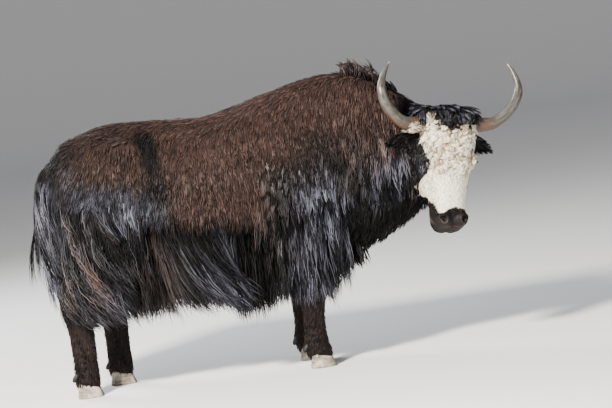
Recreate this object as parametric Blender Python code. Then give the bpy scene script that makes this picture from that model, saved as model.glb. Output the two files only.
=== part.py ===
"""A standing yak, life size, its head turned to its right. Metres, +Z up, heading +X, its left side +Y.

The shape is built from a trunk, four limbs and a head, each lofted through named stations and blended into
one body, which thin cuts then part into nodes. Stations count x forwards from the right forefoot, y to the left
of the animal's midline and z up from the ground. The last step moves the origin under the middle of the model.
"""

import math
import random

import bpy
import numpy as np
from mathutils import Matrix, Vector
from mathutils.bvhtree import BVHTree

# Whole animal
ORIGIN = Vector((0.088, 0.0, 0.0))
GAP = 0.0003
SEED = 9

# Trunk stations: x, top, bottom, half width, sideways, roundness above, roundness below
TRUNK = (
    (-1.160, 1.035, 0.880, 0.050, 0.000, 2.0, 2.0),
    (-1.120, 1.090, 0.760, 0.150, 0.000, 2.0, 2.0),
    (-1.000, 1.185, 0.640, 0.235, 0.000, 2.0, 2.1),
    (-0.850, 1.230, 0.560, 0.262, 0.000, 1.9, 2.0),
    (-0.660, 1.226, 0.500, 0.285, 0.000, 1.8, 1.9),
    (-0.400, 1.210, 0.465, 0.328, 0.000, 2.0, 1.9),
    (-0.140, 1.270, 0.460, 0.318, 0.000, 1.8, 1.9),
    (0.080, 1.322, 0.475, 0.280, 0.000, 1.7, 2.0),
    (0.270, 1.328, 0.505, 0.225, 0.000, 1.7, 2.1),
    (0.420, 1.270, 0.570, 0.175, -0.005, 1.8, 2.0),
    (0.560, 1.165, 0.660, 0.138, -0.022, 2.0, 2.0),
    (0.680, 1.070, 0.760, 0.105, -0.055, 2.0, 2.0),
)
WIDEST = 0.45

# Legs: how far each foot stands from the right forefoot, and from the midline
FOOT_X = {"fore_right": 0.000, "fore_left": -0.045, "hind_right": -1.078, "hind_left": -0.945}
FOOT_Y = 0.150
SHOULDER_X = 0.020
HIP_X = -0.920
# Limb stations: x from the foot or the joint above, y, z, fore-and-aft radius, sideways radius, share of the foot's x
FORE_LIMB = (
    (0.010, 0.130, 0.900, 0.150, 0.100, 0.0),
    (0.005, 0.145, 0.700, 0.125, 0.095, 0.0),
    (0.010, 0.155, 0.520, 0.085, 0.075, 0.5),
    (0.014, 0.152, 0.400, 0.064, 0.058, 0.9),
    (0.002, 0.150, 0.335, 0.062, 0.058, 1.0),
    (-0.008, 0.150, 0.240, 0.053, 0.047, 1.0),
    (-0.010, 0.150, 0.160, 0.053, 0.046, 1.0),
    (-0.012, 0.150, 0.108, 0.061, 0.056, 1.0),
    (-0.004, 0.150, 0.070, 0.060, 0.057, 1.0),
    (0.002, 0.150, 0.020, 0.062, 0.060, 1.0),
)
HIND_LIMB = (
    (0.000, 0.120, 1.020, 0.180, 0.110, 0.0),
    (0.005, 0.145, 0.840, 0.200, 0.125, 0.0),
    (0.010, 0.155, 0.680, 0.165, 0.105, 0.2),
    (0.020, 0.155, 0.550, 0.110, 0.080, 0.7),
    (0.008, 0.150, 0.440, 0.082, 0.060, 1.0),
    (0.004, 0.150, 0.370, 0.068, 0.053, 1.0),
    (0.010, 0.150, 0.280, 0.061, 0.048, 1.0),
    (0.010, 0.150, 0.170, 0.058, 0.047, 1.0),
    (0.008, 0.150, 0.108, 0.060, 0.055, 1.0),
    (0.008, 0.150, 0.070, 0.058, 0.056, 1.0),
    (0.010, 0.150, 0.020, 0.062, 0.060, 1.0),
)
MUSCLES = (
    ((-0.930, 0.130, 0.960), (0.210, 0.150, 0.240)),
    ((-0.790, 0.170, 1.085), (0.115, 0.062, 0.085)),
    ((0.020, 0.120, 0.860), (0.190, 0.155, 0.290)),
    ((-0.420, 0.060, 0.740), (0.400, 0.280, 0.250)),
)

# Head frame: x out of the face, y to the animal's left, z up, with its origin between the horns
HEAD_AT = Vector((0.716, -0.160, 1.045))
HEAD_YAW = math.radians(-70)
HEAD_ROLL = math.radians(-8.5)
HEAD_PITCH = math.radians(-5)
# Head stations: z, face, back, half width
HEAD = (
    (0.066, -0.020, -0.090, 0.050),
    (0.048, 0.020, -0.130, 0.112),
    (0.000, 0.045, -0.165, 0.132),
    (-0.070, 0.060, -0.185, 0.130),
    (-0.150, 0.060, -0.200, 0.122),
    (-0.215, 0.052, -0.205, 0.113),
    (-0.295, 0.040, -0.180, 0.093),
    (-0.380, 0.032, -0.150, 0.079),
    (-0.440, 0.028, -0.138, 0.081),
    (-0.482, 0.014, -0.124, 0.077),
    (-0.510, -0.018, -0.100, 0.052),
)
HEAD_LUMPS = (
    ((-0.105, 0.082, -0.240), (0.090, 0.038, 0.110)),
    ((-0.008, 0.096, -0.192), (0.048, 0.029, 0.040)),
    ((0.000, 0.040, -0.450), (0.042, 0.042, 0.040)),
    ((-0.070, 0.022, -0.478), (0.045, 0.045, 0.038)),
    ((-0.045, 0.085, 0.015), (0.070, 0.072, 0.050)),
)
EYE_AT = Vector((-0.004, 0.103, -0.202))
EYE_RADIUS = 0.0195
EYE_TURN = math.radians(62)
LID_OPEN = (0.0185, 0.0125)
LID_THICK = 0.0055
LID_RINGS = 14
NOSTRIL_AT = Vector((0.038, 0.048, -0.452))
NOSTRIL_SIZE = (0.016, 0.011, 0.019)
MOUTH_LINE = (
    (-0.085, 0.072, -0.415),
    (-0.060, 0.080, -0.450),
    (-0.035, 0.070, -0.485),
    (-0.012, 0.040, -0.507),
    (-0.006, 0.000, -0.512),
)
MOUTH_DEPTH = 0.0040
# Horn stations: out, up, forwards, radius
HORN = (
    (0.080, -0.012, -0.035, 0.036),
    (0.135, -0.018, -0.030, 0.035),
    (0.185, -0.020, -0.022, 0.032),
    (0.228, -0.010, -0.012, 0.029),
    (0.275, 0.022, -0.002, 0.0265),
    (0.318, 0.073, 0.002, 0.0235),
    (0.339, 0.130, -0.002, 0.0200),
    (0.333, 0.182, -0.014, 0.0155),
    (0.314, 0.230, -0.028, 0.0100),
    (0.293, 0.262, -0.038, 0.0035),
)
HORN_LEAN = 0.09
EAR_ROOT = Vector((-0.062, 0.100, -0.080))
EAR_TIP = {"right": Vector((-0.045, 0.296, -0.104)), "left": Vector((-0.150, 0.268, -0.128))}
EAR_WIDTH = 0.044
EAR_DEPTH = 0.024
EAR_SKIN = 0.007

# Feet
CORONET = 0.066
CORONET_SLOPE = 0.28
CLAW_LENGTH = 0.116
CLAW_WIDTH = 0.054
CLAW_SPLIT = 0.005

# Where the body is parted
NECK_X = 0.235
HEAD_CUT_AT = Vector((0.637, -0.015, 0.900))
HEAD_CUT_NORMAL = Vector((0.725, -0.689, 0.0))
FORE_BOX = (-0.205, 0.210, 0.050, 0.560, 0.185, 0.780)
HIND_BOX = (-1.400, -0.760, 0.050, 0.600, 0.165, 0.800)
KNEE_CUT = 0.262
HOCK_CUT = 0.292
TAIL_BOX = (-1.145, 0.125, 1.080)

# Locks of the long coat. Each row: x from, x to, locks a side, height from, to, length, width, and the lie at the
# root and at the tip as forwards, outwards, up. The middle of a row sweeps the most.
SIDE_ROWS = {
    "skirt upper": (-0.755, -0.215, 7, 0.705, 0.690, 0.330, 0.108, (0.05, 0.10, -1.0), (0.30, -0.10, -1.0)),
    "skirt lower": (-0.755, -0.205, 8, 0.575, 0.560, 0.310, 0.104, (0.00, 0.15, -1.0), (0.50, -0.10, -1.0)),
    "arm upper": (-0.140, 0.150, 4, 0.735, 0.735, 0.290, 0.098, (0.00, 0.10, -1.0), (0.00, 0.00, -1.0)),
    "arm lower": (-0.185, 0.165, 5, 0.585, 0.585, 0.305, 0.100, (0.00, 0.12, -1.0), (-0.05, 0.02, -1.0)),
    "thigh upper": (-1.100, -0.790, 4, 0.760, 0.760, 0.290, 0.108, (-0.05, 0.10, -1.0), (0.60, 0.00, -1.0)),
    "thigh lower": (-1.090, -0.790, 5, 0.560, 0.560, 0.265, 0.094, (-0.15, 0.10, -1.0), (0.70, 0.00, -1.0)),
    "neck upper": (0.310, 0.480, 3, 0.960, 0.930, 0.260, 0.090, (0.05, 0.15, -1.0), (0.00, 0.05, -1.0)),
    "neck lower": (0.270, 0.500, 3, 0.800, 0.830, 0.250, 0.100, (0.05, 0.12, -1.0), (0.05, 0.02, -1.0)),
}
# Rows under the body: x from, x to, locks a side, from the midline, length, width, lie at the root and at the tip
UNDER_ROWS = {
    "belly": (-0.740, -0.210, 5, 0.105, 0.215, 0.130, (0.00, 0.20, -1.0), (0.40, 0.00, -1.0)),
    "brisket": (-0.030, 0.190, 3, 0.040, 0.130, 0.090, (0.00, 0.20, -1.0), (-0.10, 0.00, -1.0)),
    "throat": (0.270, 0.520, 3, 0.035, 0.085, 0.100, (-0.20, 0.20, -1.0), (-0.50, 0.00, -1.0)),
}
CREST = (0.300, 0.405, 5, 0.085, 0.050)
# Tail: how many locks hang from each height of its dock, their length and width, and the lie of their tips
TAIL_PATH = ((-1.130, 0, 1.030), (-1.165, 0, 0.995), (-1.178, 0, 0.900), (-1.180, 0, 0.780), (-1.172, 0, 0.660))
TAIL_ROWS = ((0.985, 3, 0.280, 0.100), (0.840, 4, 0.300, 0.100), (0.690, 5, 0.330, 0.096))
TAIL_LIE = (0.30, 0.0, -1.0)
# Head, in its own frame. Curls of the forehead: rows from, to, columns each way, length, width
CURLS = (-0.015, -0.205, 5, 4, 0.068, 0.046)
# Locks of the head: from where, lie at the root and at the tip, length, width; y and the y of each lie change side
HEAD_LOCKS = (
    ((0.030, 0.022, 0.052), (0.6, 0.10, 0.3), (0.5, 0.0, -1.0), 0.100, 0.062),
    ((0.025, 0.070, 0.050), (0.6, 0.25, 0.3), (0.5, 0.1, -1.0), 0.095, 0.062),
    ((-0.060, 0.045, 0.062), (0.8, 0.20, 0.2), (0.9, 0.1, -0.2), 0.095, 0.066),
    ((0.015, 0.115, 0.030), (0.4, 0.80, 0.1), (0.4, 0.6, -0.9), 0.080, 0.058),
    ((-0.050, 0.115, 0.050), (0.1, 0.90, 0.1), (0.2, 0.8, -0.6), 0.085, 0.062),
    ((-0.110, 0.100, -0.190), (-0.2, 0.30, -1.0), (-0.2, 0.1, -1.0), 0.120, 0.068),
    ((-0.120, 0.085, -0.290), (-0.2, 0.20, -1.0), (-0.3, 0.0, -1.0), 0.110, 0.062),
)
LOCK_RINGS = ((0.0, 0.45), (0.26, 1.00), (0.54, 0.90), (0.80, 0.52))
LOCK_SECTION = ((1.0, -0.10), (0.0, 0.26), (-1.0, -0.10))
LOCK_SINK = 0.022
LOCK_REST = 0.005
CURL_RINGS = ((0.0, 0.80), (0.40, 1.00), (0.80, 0.65))
CURL_SECTION = ((1.0, -0.2), (0.0, 0.75), (-1.0, -0.2))
CURL_SINK = 0.012

COLOURS = {
    "coat": (0.030, 0.020, 0.016),
    "white": (0.780, 0.720, 0.600),
    "horn": (0.300, 0.260, 0.200),
    "eye": (0.012, 0.008, 0.006),
    "hoof": (0.200, 0.180, 0.150),
}


def clear_scene():
    for item in list(bpy.data.objects):
        bpy.data.objects.remove(item)


def add_object(name, points, faces):
    mesh = bpy.data.meshes.new(name)
    mesh.from_pydata([tuple(p) for p in points], [], faces)
    mesh.update()
    item = bpy.data.objects.new(name, mesh)
    bpy.context.scene.collection.objects.link(item)
    return item


def smooth_rows(rows, steps):
    """Catmull-Rom rows through the stations, with each interval split into that many steps."""
    table = np.array(rows, float)
    padded = np.vstack([2 * table[0] - table[1], table, 2 * table[-1] - table[-2]])
    made = []
    for i in range(len(table) - 1):
        a, b, c, d = padded[i : i + 4]
        for t in np.linspace(0, 1, steps, endpoint=False):
            made.append(
                0.5 * (2 * b + (c - a) * t + (2 * a - 5 * b + 4 * c - d) * t**2 + (3 * b - a - 3 * c + d) * t**3)
            )
    made.append(table[-1])
    return np.array(made)


def loft(name, rings, tip=None):
    """A closed body through rings of equal length, turned so that its faces point out."""
    rings = np.array(rings, float)
    count, sides, _ = rings.shape
    points = rings.reshape(-1, 3).tolist()
    faces = []
    for i in range(count - 1):
        for j in range(sides):
            k = (j + 1) % sides
            faces.append((i * sides + j, i * sides + k, (i + 1) * sides + k, (i + 1) * sides + j))
    faces.append(tuple(reversed(range(sides))))
    last = (count - 1) * sides
    if tip is None:
        faces.append(tuple(range(last, last + sides)))
    else:
        points.append(tuple(tip))
        faces += [(last + j, last + (j + 1) % sides, len(points) - 1) for j in range(sides)]
    item = add_object(name, points, faces)
    if signed_volume(item) < 0:
        item.data.flip_normals()
    return item


def triangles(item):
    item.data.calc_loop_triangles()
    points = np.empty(len(item.data.vertices) * 3)
    item.data.vertices.foreach_get("co", points)
    faces = np.empty(len(item.data.loop_triangles) * 3, int)
    item.data.loop_triangles.foreach_get("vertices", faces)
    return points.reshape(-1, 3), faces.reshape(-1, 3)


def signed_volume(item):
    points, faces = triangles(item)
    return np.linalg.det(points[faces]).sum() / 6


def ellipsoid(name, centre, radii, rings=10, sides=16):
    made = []
    for i in range(1, rings):
        a = math.pi * i / rings
        turn = np.linspace(0, 2 * math.pi, sides, endpoint=False)
        made.append(
            np.stack(
                [
                    centre[0] + radii[0] * math.sin(a) * np.cos(turn),
                    centre[1] + radii[1] * math.sin(a) * np.sin(turn),
                    np.full(sides, centre[2] - radii[2] * math.cos(a)),
                ],
                axis=1,
            )
        )
    return loft(name, made)


def apply_modifiers(item):
    graph = bpy.context.evaluated_depsgraph_get()
    made = bpy.data.meshes.new_from_object(item.evaluated_get(graph))
    item.modifiers.clear()
    old = item.data
    item.data = made
    bpy.data.meshes.remove(old)
    return item


def join(name, items):
    """Loose shapes as one mesh, still overlapping."""
    points, faces, start = [], [], 0
    for item in items:
        points += [tuple(item.matrix_world @ v.co) for v in item.data.vertices]
        faces += [tuple(start + i for i in face.vertices) for face in item.data.polygons]
        start = len(points)
        bpy.data.objects.remove(item)
    return add_object(name, points, faces)


def blend(item, voxel, rounds, count):
    """One smooth skin round overlapping shapes, of about that many triangles."""
    remesh = item.modifiers.new("skin", "REMESH")
    remesh.mode = "VOXEL"
    remesh.voxel_size = voxel
    soften = item.modifiers.new("soften", "SMOOTH")
    soften.factor = 0.5
    soften.iterations = rounds
    apply_modifiers(item)
    thin = item.modifiers.new("thin", "DECIMATE")
    thin.ratio = count / (2 * len(item.data.polygons))
    thin.use_collapse_triangulate = True
    return apply_modifiers(item)


def boolean(item, operation, others, solver="MANIFOLD", keep=False):
    """A Boolean with one object or a list, applied, and the others removed unless kept."""
    others = others if isinstance(others, list) else [others]
    group = bpy.data.collections.new("operands")
    for other in others:
        group.objects.link(other)
    for other in others if operation != "UNION" else [None]:
        tool = item.modifiers.new("cut", "BOOLEAN")
        tool.operation = operation
        tool.solver = solver
        if other is None:
            tool.operand_type = "COLLECTION"
            tool.collection = group
        else:
            tool.object = other
        apply_modifiers(item)
    bpy.data.collections.remove(group)
    if not keep:
        for other in others:
            bpy.data.objects.remove(other)
    return item


def without_folds(faces):
    """Drops pairs of triangles that lie back to back on the same three corners."""
    turned = np.array([np.roll(face, -int(face.argmin())) for face in faces])
    flip = turned[:, 1] > turned[:, 2]
    corners = np.where(flip[:, None], turned[:, [0, 2, 1]], turned)
    _, owner = np.unique(corners, axis=0, return_inverse=True)
    balance = np.bincount(owner.reshape(-1), np.where(flip, -1, 1))
    return faces[balance[owner.reshape(-1)] != 0]


def keep_largest(item):
    """Drops every closed surface but the largest, such as a scrap or a hollow that a union sealed."""
    points, faces = triangles(item)
    faces = without_folds(faces)
    group = np.arange(len(points))
    while True:
        low = group[faces].min(axis=1)
        merged = group.copy()
        for k in range(3):
            np.minimum.at(merged, faces[:, k], low)
        merged = merged[merged]
        if (merged == group).all():
            break
        group = merged
    owner = group[faces[:, 0]]
    volumes = np.linalg.det(points[faces]) / 6
    best = max(np.unique(owner), key=lambda g: abs(volumes[owner == g].sum()))
    kept = faces[owner == best]
    used, index = np.unique(kept, return_inverse=True)
    name = item.name
    bpy.data.objects.remove(item)
    return add_object(name, points[used], [tuple(face) for face in index.reshape(-1, 3).tolist()])


def copy_of(item, name):
    twin = item.copy()
    twin.data = item.data.copy()
    twin.name = name
    bpy.context.scene.collection.objects.link(twin)
    return twin


def block(name, low, high):
    """A box between two corners."""
    corners = [(x, y, z) for x in (low[0], high[0]) for y in (low[1], high[1]) for z in (low[2], high[2])]
    faces = [(0, 1, 3, 2), (4, 6, 7, 5), (0, 4, 5, 1), (2, 3, 7, 6), (0, 2, 6, 4), (1, 5, 7, 3)]
    return add_object(name, corners, faces)


def half_space(name, at, normal, reach=3.0):
    """A large box whose one face passes through a point, and which lies on the side its normal points to."""
    turn = Vector(normal).to_track_quat("Z", "Y").to_matrix().to_4x4()
    item = block(name, (-reach, -reach, 0), (reach, reach, reach))
    item.data.transform(Matrix.Translation(at) @ turn)
    return item


def cut_clear(item, others, gap=GAP):
    """Cuts an object clear of others, with a gap between them."""
    for other in others:
        cutter = copy_of(other, "cutter")
        swell = cutter.modifiers.new("swell", "DISPLACE")
        swell.strength = gap
        swell.mid_level = 0
        apply_modifiers(cutter)
        boolean(item, "DIFFERENCE", cutter)
    return keep_largest(item)


def paint(item, slot):
    shade = bpy.data.materials.new(item.name)
    shade.use_nodes = True
    principled = shade.node_tree.nodes["Principled BSDF"]
    principled.inputs["Base Color"].default_value = (*COLOURS[slot], 1)
    principled.inputs["Roughness"].default_value = 0.35 if slot in ("horn", "eye") else 0.8
    principled.inputs["Metallic"].default_value = 0
    item.data.materials.clear()
    item.data.materials.append(shade)
    item.data.shade_smooth()
    item.data.set_sharp_from_angle(angle=math.radians(50))


def oval(half_width, up, down, above, below, sides):
    """Points of a closed section, wider than an ellipse where its roundness is over 2: (sideways, up)."""
    turn = np.linspace(0, 2 * math.pi, sides, endpoint=False)
    c, s = np.cos(turn), np.sin(turn)
    n = np.where(s > 0, above, below)
    y = half_width * np.sign(c) * np.abs(c) ** (2 / n)
    z = np.where(s > 0, up, down) * np.sign(s) * np.abs(s) ** (2 / n)
    return y, z


def trunk(stations=TRUNK):
    rings = []
    for x, top, bottom, half_width, sideways, above, below in smooth_rows(stations, 4):
        middle = bottom + WIDEST * (top - bottom)
        y, z = oval(half_width, top - middle, middle - bottom, above, below, 28)
        rings.append(np.stack([np.full(28, x), sideways + y, middle + z], axis=1))
    return loft("trunk", rings)


def limb(leg):
    """One leg from the shoulder or hip to the foot, as level rings."""
    fore, side = leg.startswith("fore"), 1 if leg.endswith("left") else -1
    joint = SHOULDER_X if fore else HIP_X
    rings = []
    for x, y, z, rx, ry, share in smooth_rows(FORE_LIMB if fore else HIND_LIMB, 3):
        across, along = oval(rx, ry, ry, 2, 2, 16)
        centre = joint + share * (FOOT_X[leg] - joint) + x
        rings.append(np.stack([centre + across, side * y + along, np.full(16, z)], axis=1))
    return loft("limb", rings)


def head_matrix():
    turn = Matrix.Rotation(HEAD_YAW, 4, "Z") @ Matrix.Rotation(HEAD_ROLL, 4, "X") @ Matrix.Rotation(HEAD_PITCH, 4, "Y")
    return Matrix.Translation(HEAD_AT) @ turn


def both_sides(centre, radii, name="lump"):
    return [ellipsoid(name, (centre[0], side * centre[1], centre[2]), radii) for side in (-1, 1)]


def head_shapes():
    """The shapes that blend into the head, in place."""
    rings = []
    for z, face, back, half_width in smooth_rows(HEAD, 4):
        middle = back + 0.55 * (face - back)
        y, x = oval(half_width, face - middle, middle - back, 2.5, 2.0, 24)
        rings.append(np.stack([middle + x, y, np.full(24, z)], axis=1))
    shapes = [loft("skull", rings)]
    for centre, radii in HEAD_LUMPS:
        shapes += both_sides(centre, radii)
    for shape in shapes:
        shape.data.transform(head_matrix())
    return shapes


def body_shapes():
    shapes = [trunk()] + [limb(leg) for leg in FOOT_X]
    for centre, radii in MUSCLES:
        shapes += both_sides(centre, radii)
    return shapes


def territory(leg, swell=0.0):
    """What a leg is cut out with: a box under the belly, and one outside the ribs that reaches higher."""
    x0, x1, inner, top, rib, high = FORE_BOX if leg.startswith("fore") else HIND_BOX
    side = 1 if leg.endswith("left") else -1
    boxes = []
    for near, height in ((inner, top), (rib, high)):
        y = sorted((side * (near - swell), side * 0.9))
        boxes.append(block("territory", (x0 - swell, y[0], -0.5), (x1 + swell, y[1], height + swell)))
    return boolean(boxes[0], "UNION", boxes[1])


def tail_space(swell=0.0):
    """What is kept free for the tail."""
    x, half_width, top = TAIL_BOX
    return block("space", (-2, -half_width - swell, -1), (x + swell, half_width + swell, top + swell))


def level_part(item, name, low, high):
    """The slice of a leg between two heights."""
    piece = copy_of(item, name)
    return keep_largest(boolean(piece, "INTERSECT", block("slice", (-3, -3, low), (3, 3, high))))


def surface(item):
    """The surface of a mesh, for rays and nearest points."""
    points, faces = triangles(item)
    return BVHTree.FromPolygons([tuple(p) for p in points], faces.tolist())


def blend_ways(first, last, t):
    return (Vector(first) * (1 - t) + Vector(last) * t).normalized()


def lock(skin, root, normal, lies, length, width, rings=LOCK_RINGS, section=LOCK_SECTION, sink=LOCK_SINK, cling=1.0):
    """A tapered lock that leaves the skin at a root and turns from its first lie to its last.

    It never dips into the skin, nor does it rise further from it than cling."""
    first, last = lies
    at = root.copy()
    made, before = [], 0.0
    for k, t in enumerate([row[0] for row in rings] + [1.0]):
        way = blend_ways(first, last, t)
        for _ in range(2):
            at = at + way * (length * (t - before) / 2)
            near, out, _, distance = skin.find_nearest(at)
            depth = (at - near).dot(out)
            if depth < LOCK_REST and distance < 0.12:
                at = at + out * (LOCK_REST - depth)
            elif depth > cling:
                at = near + out * cling
        before = t
        facing = (normal * (1 - t) + out * t).normalized()
        across = way.cross(facing).normalized()
        over = across.cross(way).normalized()
        if k == len(rings):
            break
        centre = root - normal * sink - first.normalized() * sink if k == 0 else at
        wide = width * rings[k][1] / 2
        made.append([centre + (across * u + over * v) * wide for u, v in section])
    return loft("lock", made, at)


def varied(value, share):
    return value * random.uniform(1 - share, 1 + share)


def spread(x0, x1, count):
    """Places along a row, a little uneven."""
    step = (x1 - x0) / count
    return [x0 + step * (i + 0.5 + random.uniform(-0.2, 0.2)) for i in range(count)]


def tipped(way, side, sway=0.08):
    """A lie given as forwards, outwards, up, turned to one side of the body and varied."""
    x, y, z = way
    return Vector((x + random.uniform(-sway, sway), side * y + random.uniform(-sway, sway) / 2, z))


def side_locks(skin):
    made = []
    for x0, x1, count, z0, z1, length, width, first, last in SIDE_ROWS.values():
        for side in (-1, 1):
            for x in spread(x0, x1, count):
                share = (x - x0) / (x1 - x0)
                z = z0 + (z1 - z0) * share + random.uniform(-0.015, 0.015)
                root, normal, _, _ = skin.ray_cast(Vector((x, side * 1.0, z)), Vector((0, -side, 0)))
                sweep = 1.25 * math.sin(math.pi * share)
                lies = tipped(first, side), tipped((last[0] * sweep, last[1], last[2]), side)
                made.append(lock(skin, root, normal, lies, varied(length, 0.07), varied(width, 0.12)))
    return made


def under_locks(skin):
    made = []
    for x0, x1, count, apart, length, width, first, last in UNDER_ROWS.values():
        for side in (-1, 1):
            for x in spread(x0, x1, count):
                y = side * apart + random.uniform(-0.015, 0.015)
                root, normal, _, _ = skin.ray_cast(Vector((x, y, 0.1)), Vector((0, 0, 1)))
                lies = tipped(first, side), tipped(last, side)
                made.append(lock(skin, root, normal, lies, varied(length, 0.07), varied(width, 0.12)))
    return made


def crest_locks(skin):
    x0, x1, count, length, width = CREST
    made = []
    for x in spread(x0, x1, count):
        root, normal, _, _ = skin.ray_cast(Vector((x, random.uniform(-0.02, 0.02), 2)), Vector((0, 0, -1)))
        lies = tipped((0.2, 0, 1), 1, 0.2), tipped((-0.9, 0, 0.6), 1, 0.25)
        made.append(lock(skin, root, normal, lies, varied(length, 0.25), width))
    return made


def body_nodes():
    body = blend(join("body", body_shapes()), 0.014, 6, 2260)
    skin = surface(body)
    boolean(body, "UNION", side_locks(skin) + under_locks(skin) + crest_locks(skin))
    boolean(body, "DIFFERENCE", tail_space(GAP))
    nodes = {}
    for leg in FOOT_X:
        whole = boolean(copy_of(body, "leg"), "INTERSECT", territory(leg))
        joint = KNEE_CUT if leg.startswith("fore") else HOCK_CUT
        nodes[leg + "_upper"] = level_part(whole, leg + "_upper", joint + GAP / 2, 2)
        nodes[leg + "_lower"] = level_part(whole, leg + "_lower", -1, joint - GAP / 2)
        bpy.data.objects.remove(whole)
    boolean(body, "DIFFERENCE", [territory(leg, GAP) for leg in FOOT_X])
    neck = boolean(copy_of(body, "neck"), "INTERSECT", half_space("side", (NECK_X + GAP, 0, 0), (1, 0, 0)))
    boolean(neck, "DIFFERENCE", half_space("side", HEAD_CUT_AT, HEAD_CUT_NORMAL))
    nodes["neck"] = keep_largest(neck)
    boolean(body, "INTERSECT", half_space("side", (NECK_X, 0, 0), (-1, 0, 0)))
    body.name = "torso"
    nodes["torso"] = keep_largest(body)
    return nodes


def eye_matrix(side):
    """Eye frame: x out of the socket, z up the face."""
    turn = Matrix.Rotation(side * EYE_TURN, 4, "Z")
    at = Matrix.Translation((EYE_AT.x, side * EYE_AT.y, EYE_AT.z))
    return head_matrix() @ at @ turn


def lid(side):
    """A ring round the eye's opening, drawn in to an almond."""
    rings = []
    for a in np.linspace(0, 2 * math.pi, LID_RINGS, endpoint=False):
        out = np.array([0, math.cos(a), math.sin(a)])
        centre = np.array([EYE_RADIUS * 0.62, LID_OPEN[0] * out[1], LID_OPEN[1] * out[2]])
        ring = []
        for b in np.linspace(0, 2 * math.pi, 6, endpoint=False):
            ring.append(centre + LID_THICK * (math.cos(b) * out + math.sin(b) * np.array([1.0, 0, 0])))
        rings.append(ring)
    rings = np.array(rings)
    faces = []
    for i in range(LID_RINGS):
        for j in range(6):
            n, k = (i + 1) % LID_RINGS, (j + 1) % 6
            faces.append((i * 6 + j, i * 6 + k, n * 6 + k, n * 6 + j))
    item = add_object("lid", rings.reshape(-1, 3), faces)
    if signed_volume(item) < 0:
        item.data.flip_normals()
    item.data.transform(eye_matrix(side))
    return item


def tube(name, path, radius, sides=8):
    """A round bar along a path of points, or one with a radius of its own at each point."""
    path = [Vector(p) for p in path]
    radii = [float(r) for r in np.broadcast_to(radius, len(path))]
    rings, across = [], None
    for i, at in enumerate(path):
        along = (path[min(i + 1, len(path) - 1)] - path[max(i - 1, 0)]).normalized()
        across = across or along.orthogonal().normalized()
        across = (across - along * across.dot(along)).normalized()
        other = along.cross(across)
        ring = []
        for a in np.linspace(0, 2 * math.pi, sides, endpoint=False):
            ring.append(at + radii[i] * (math.cos(a) * across + math.sin(a) * other))
        rings.append(ring)
    return loft(name, rings)


def mouth_cutter():
    half = smooth_rows(MOUTH_LINE, 3)
    other = half[::-1][1:] * np.array([1, -1, 1])
    item = tube("mouth", np.vstack([half, other]), MOUTH_DEPTH, 6)
    item.data.transform(head_matrix())
    return item


def head_locks(skin):
    """The curls of the forehead, the locks between the horns and round them, and those of the jaw."""
    turn = head_matrix()
    spin = turn.to_3x3()
    made = []
    high, low, rows, columns, length, width = CURLS
    for i in range(rows):
        for j in range(columns):
            u = (j + 0.5 * (i % 2) + 0.25) / columns * 2 - 1
            reach = 0.104 - 0.028 * i / (rows - 1)
            start = Vector((0.5, reach * u, high + (low - high) * i / (rows - 1) + random.uniform(-0.006, 0.006)))
            root, normal, _, _ = skin.ray_cast(turn @ start, spin @ Vector((-1, 0, 0)))
            heading = Vector((0.1, u * 0.5 + random.uniform(-0.6, 0.6), -1 + random.uniform(-0.2, 0.6)))
            bend = Vector((0, random.choice((-1, 1)), -0.8))
            lies = spin @ heading, spin @ (heading * 0.3 + bend)
            sizes = varied(length, 0.15), varied(width, 0.15)
            made.append(lock(skin, root, normal, lies, *sizes, CURL_RINGS, CURL_SECTION, CURL_SINK, 0.010))
    for side in (-1, 1):
        for at, first, last, length, width in HEAD_LOCKS:
            swap = Vector((1, side, 1))
            root, normal, _, _ = skin.find_nearest(turn @ (Vector(at) * swap))
            lies = spin @ tipped(Vector(first) * swap, 1), spin @ tipped(Vector(last) * swap, 1)
            made.append(lock(skin, root, normal, lies, varied(length, 0.1), varied(width, 0.1), sink=0.014, cling=0.012))
    return made


def skull_node():
    skull = blend(join("head", head_shapes() + [trunk()]), 0.006, 4, 2050)
    return boolean(skull, "INTERSECT", half_space("side", HEAD_CUT_AT + HEAD_CUT_NORMAL * GAP, HEAD_CUT_NORMAL))


def head_node(skull, beside):
    """The skull with its hair, lids, eye sockets, nostrils and mouth, cut clear of the horns and ears."""
    boolean(skull, "UNION", head_locks(surface(skull)) + [lid(-1), lid(1)])
    boolean(skull, "INTERSECT", half_space("side", HEAD_CUT_AT + HEAD_CUT_NORMAL * GAP, HEAD_CUT_NORMAL))
    sockets = []
    for side in (-1, 1):
        socket = ellipsoid("socket", (0, 0, 0), [EYE_RADIUS + 1.5 * GAP] * 3, 7, 12)
        opening = ellipsoid("opening", (EYE_RADIUS, 0, 0), (0.035, LID_OPEN[0], LID_OPEN[1]), 6, 12)
        for cutter in (socket, opening):
            cutter.data.transform(eye_matrix(side))
            sockets.append(cutter)
        nostril = ellipsoid("nostril", (NOSTRIL_AT.x, side * NOSTRIL_AT.y, NOSTRIL_AT.z), NOSTRIL_SIZE, 6, 10)
        nostril.data.transform(head_matrix())
        sockets.append(nostril)
    boolean(skull, "DIFFERENCE", sockets + [mouth_cutter()])
    return cut_clear(skull, beside, 0.7 * GAP)


def horn(name, side):
    rows = smooth_rows(HORN, 2)
    path = [(forwards, side * out + HORN_LEAN * max(0, up), up) for out, up, forwards, _ in rows]
    item = tube(name, path, rows[:, 3], 8)
    item.data.transform(head_matrix())
    return item


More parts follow.
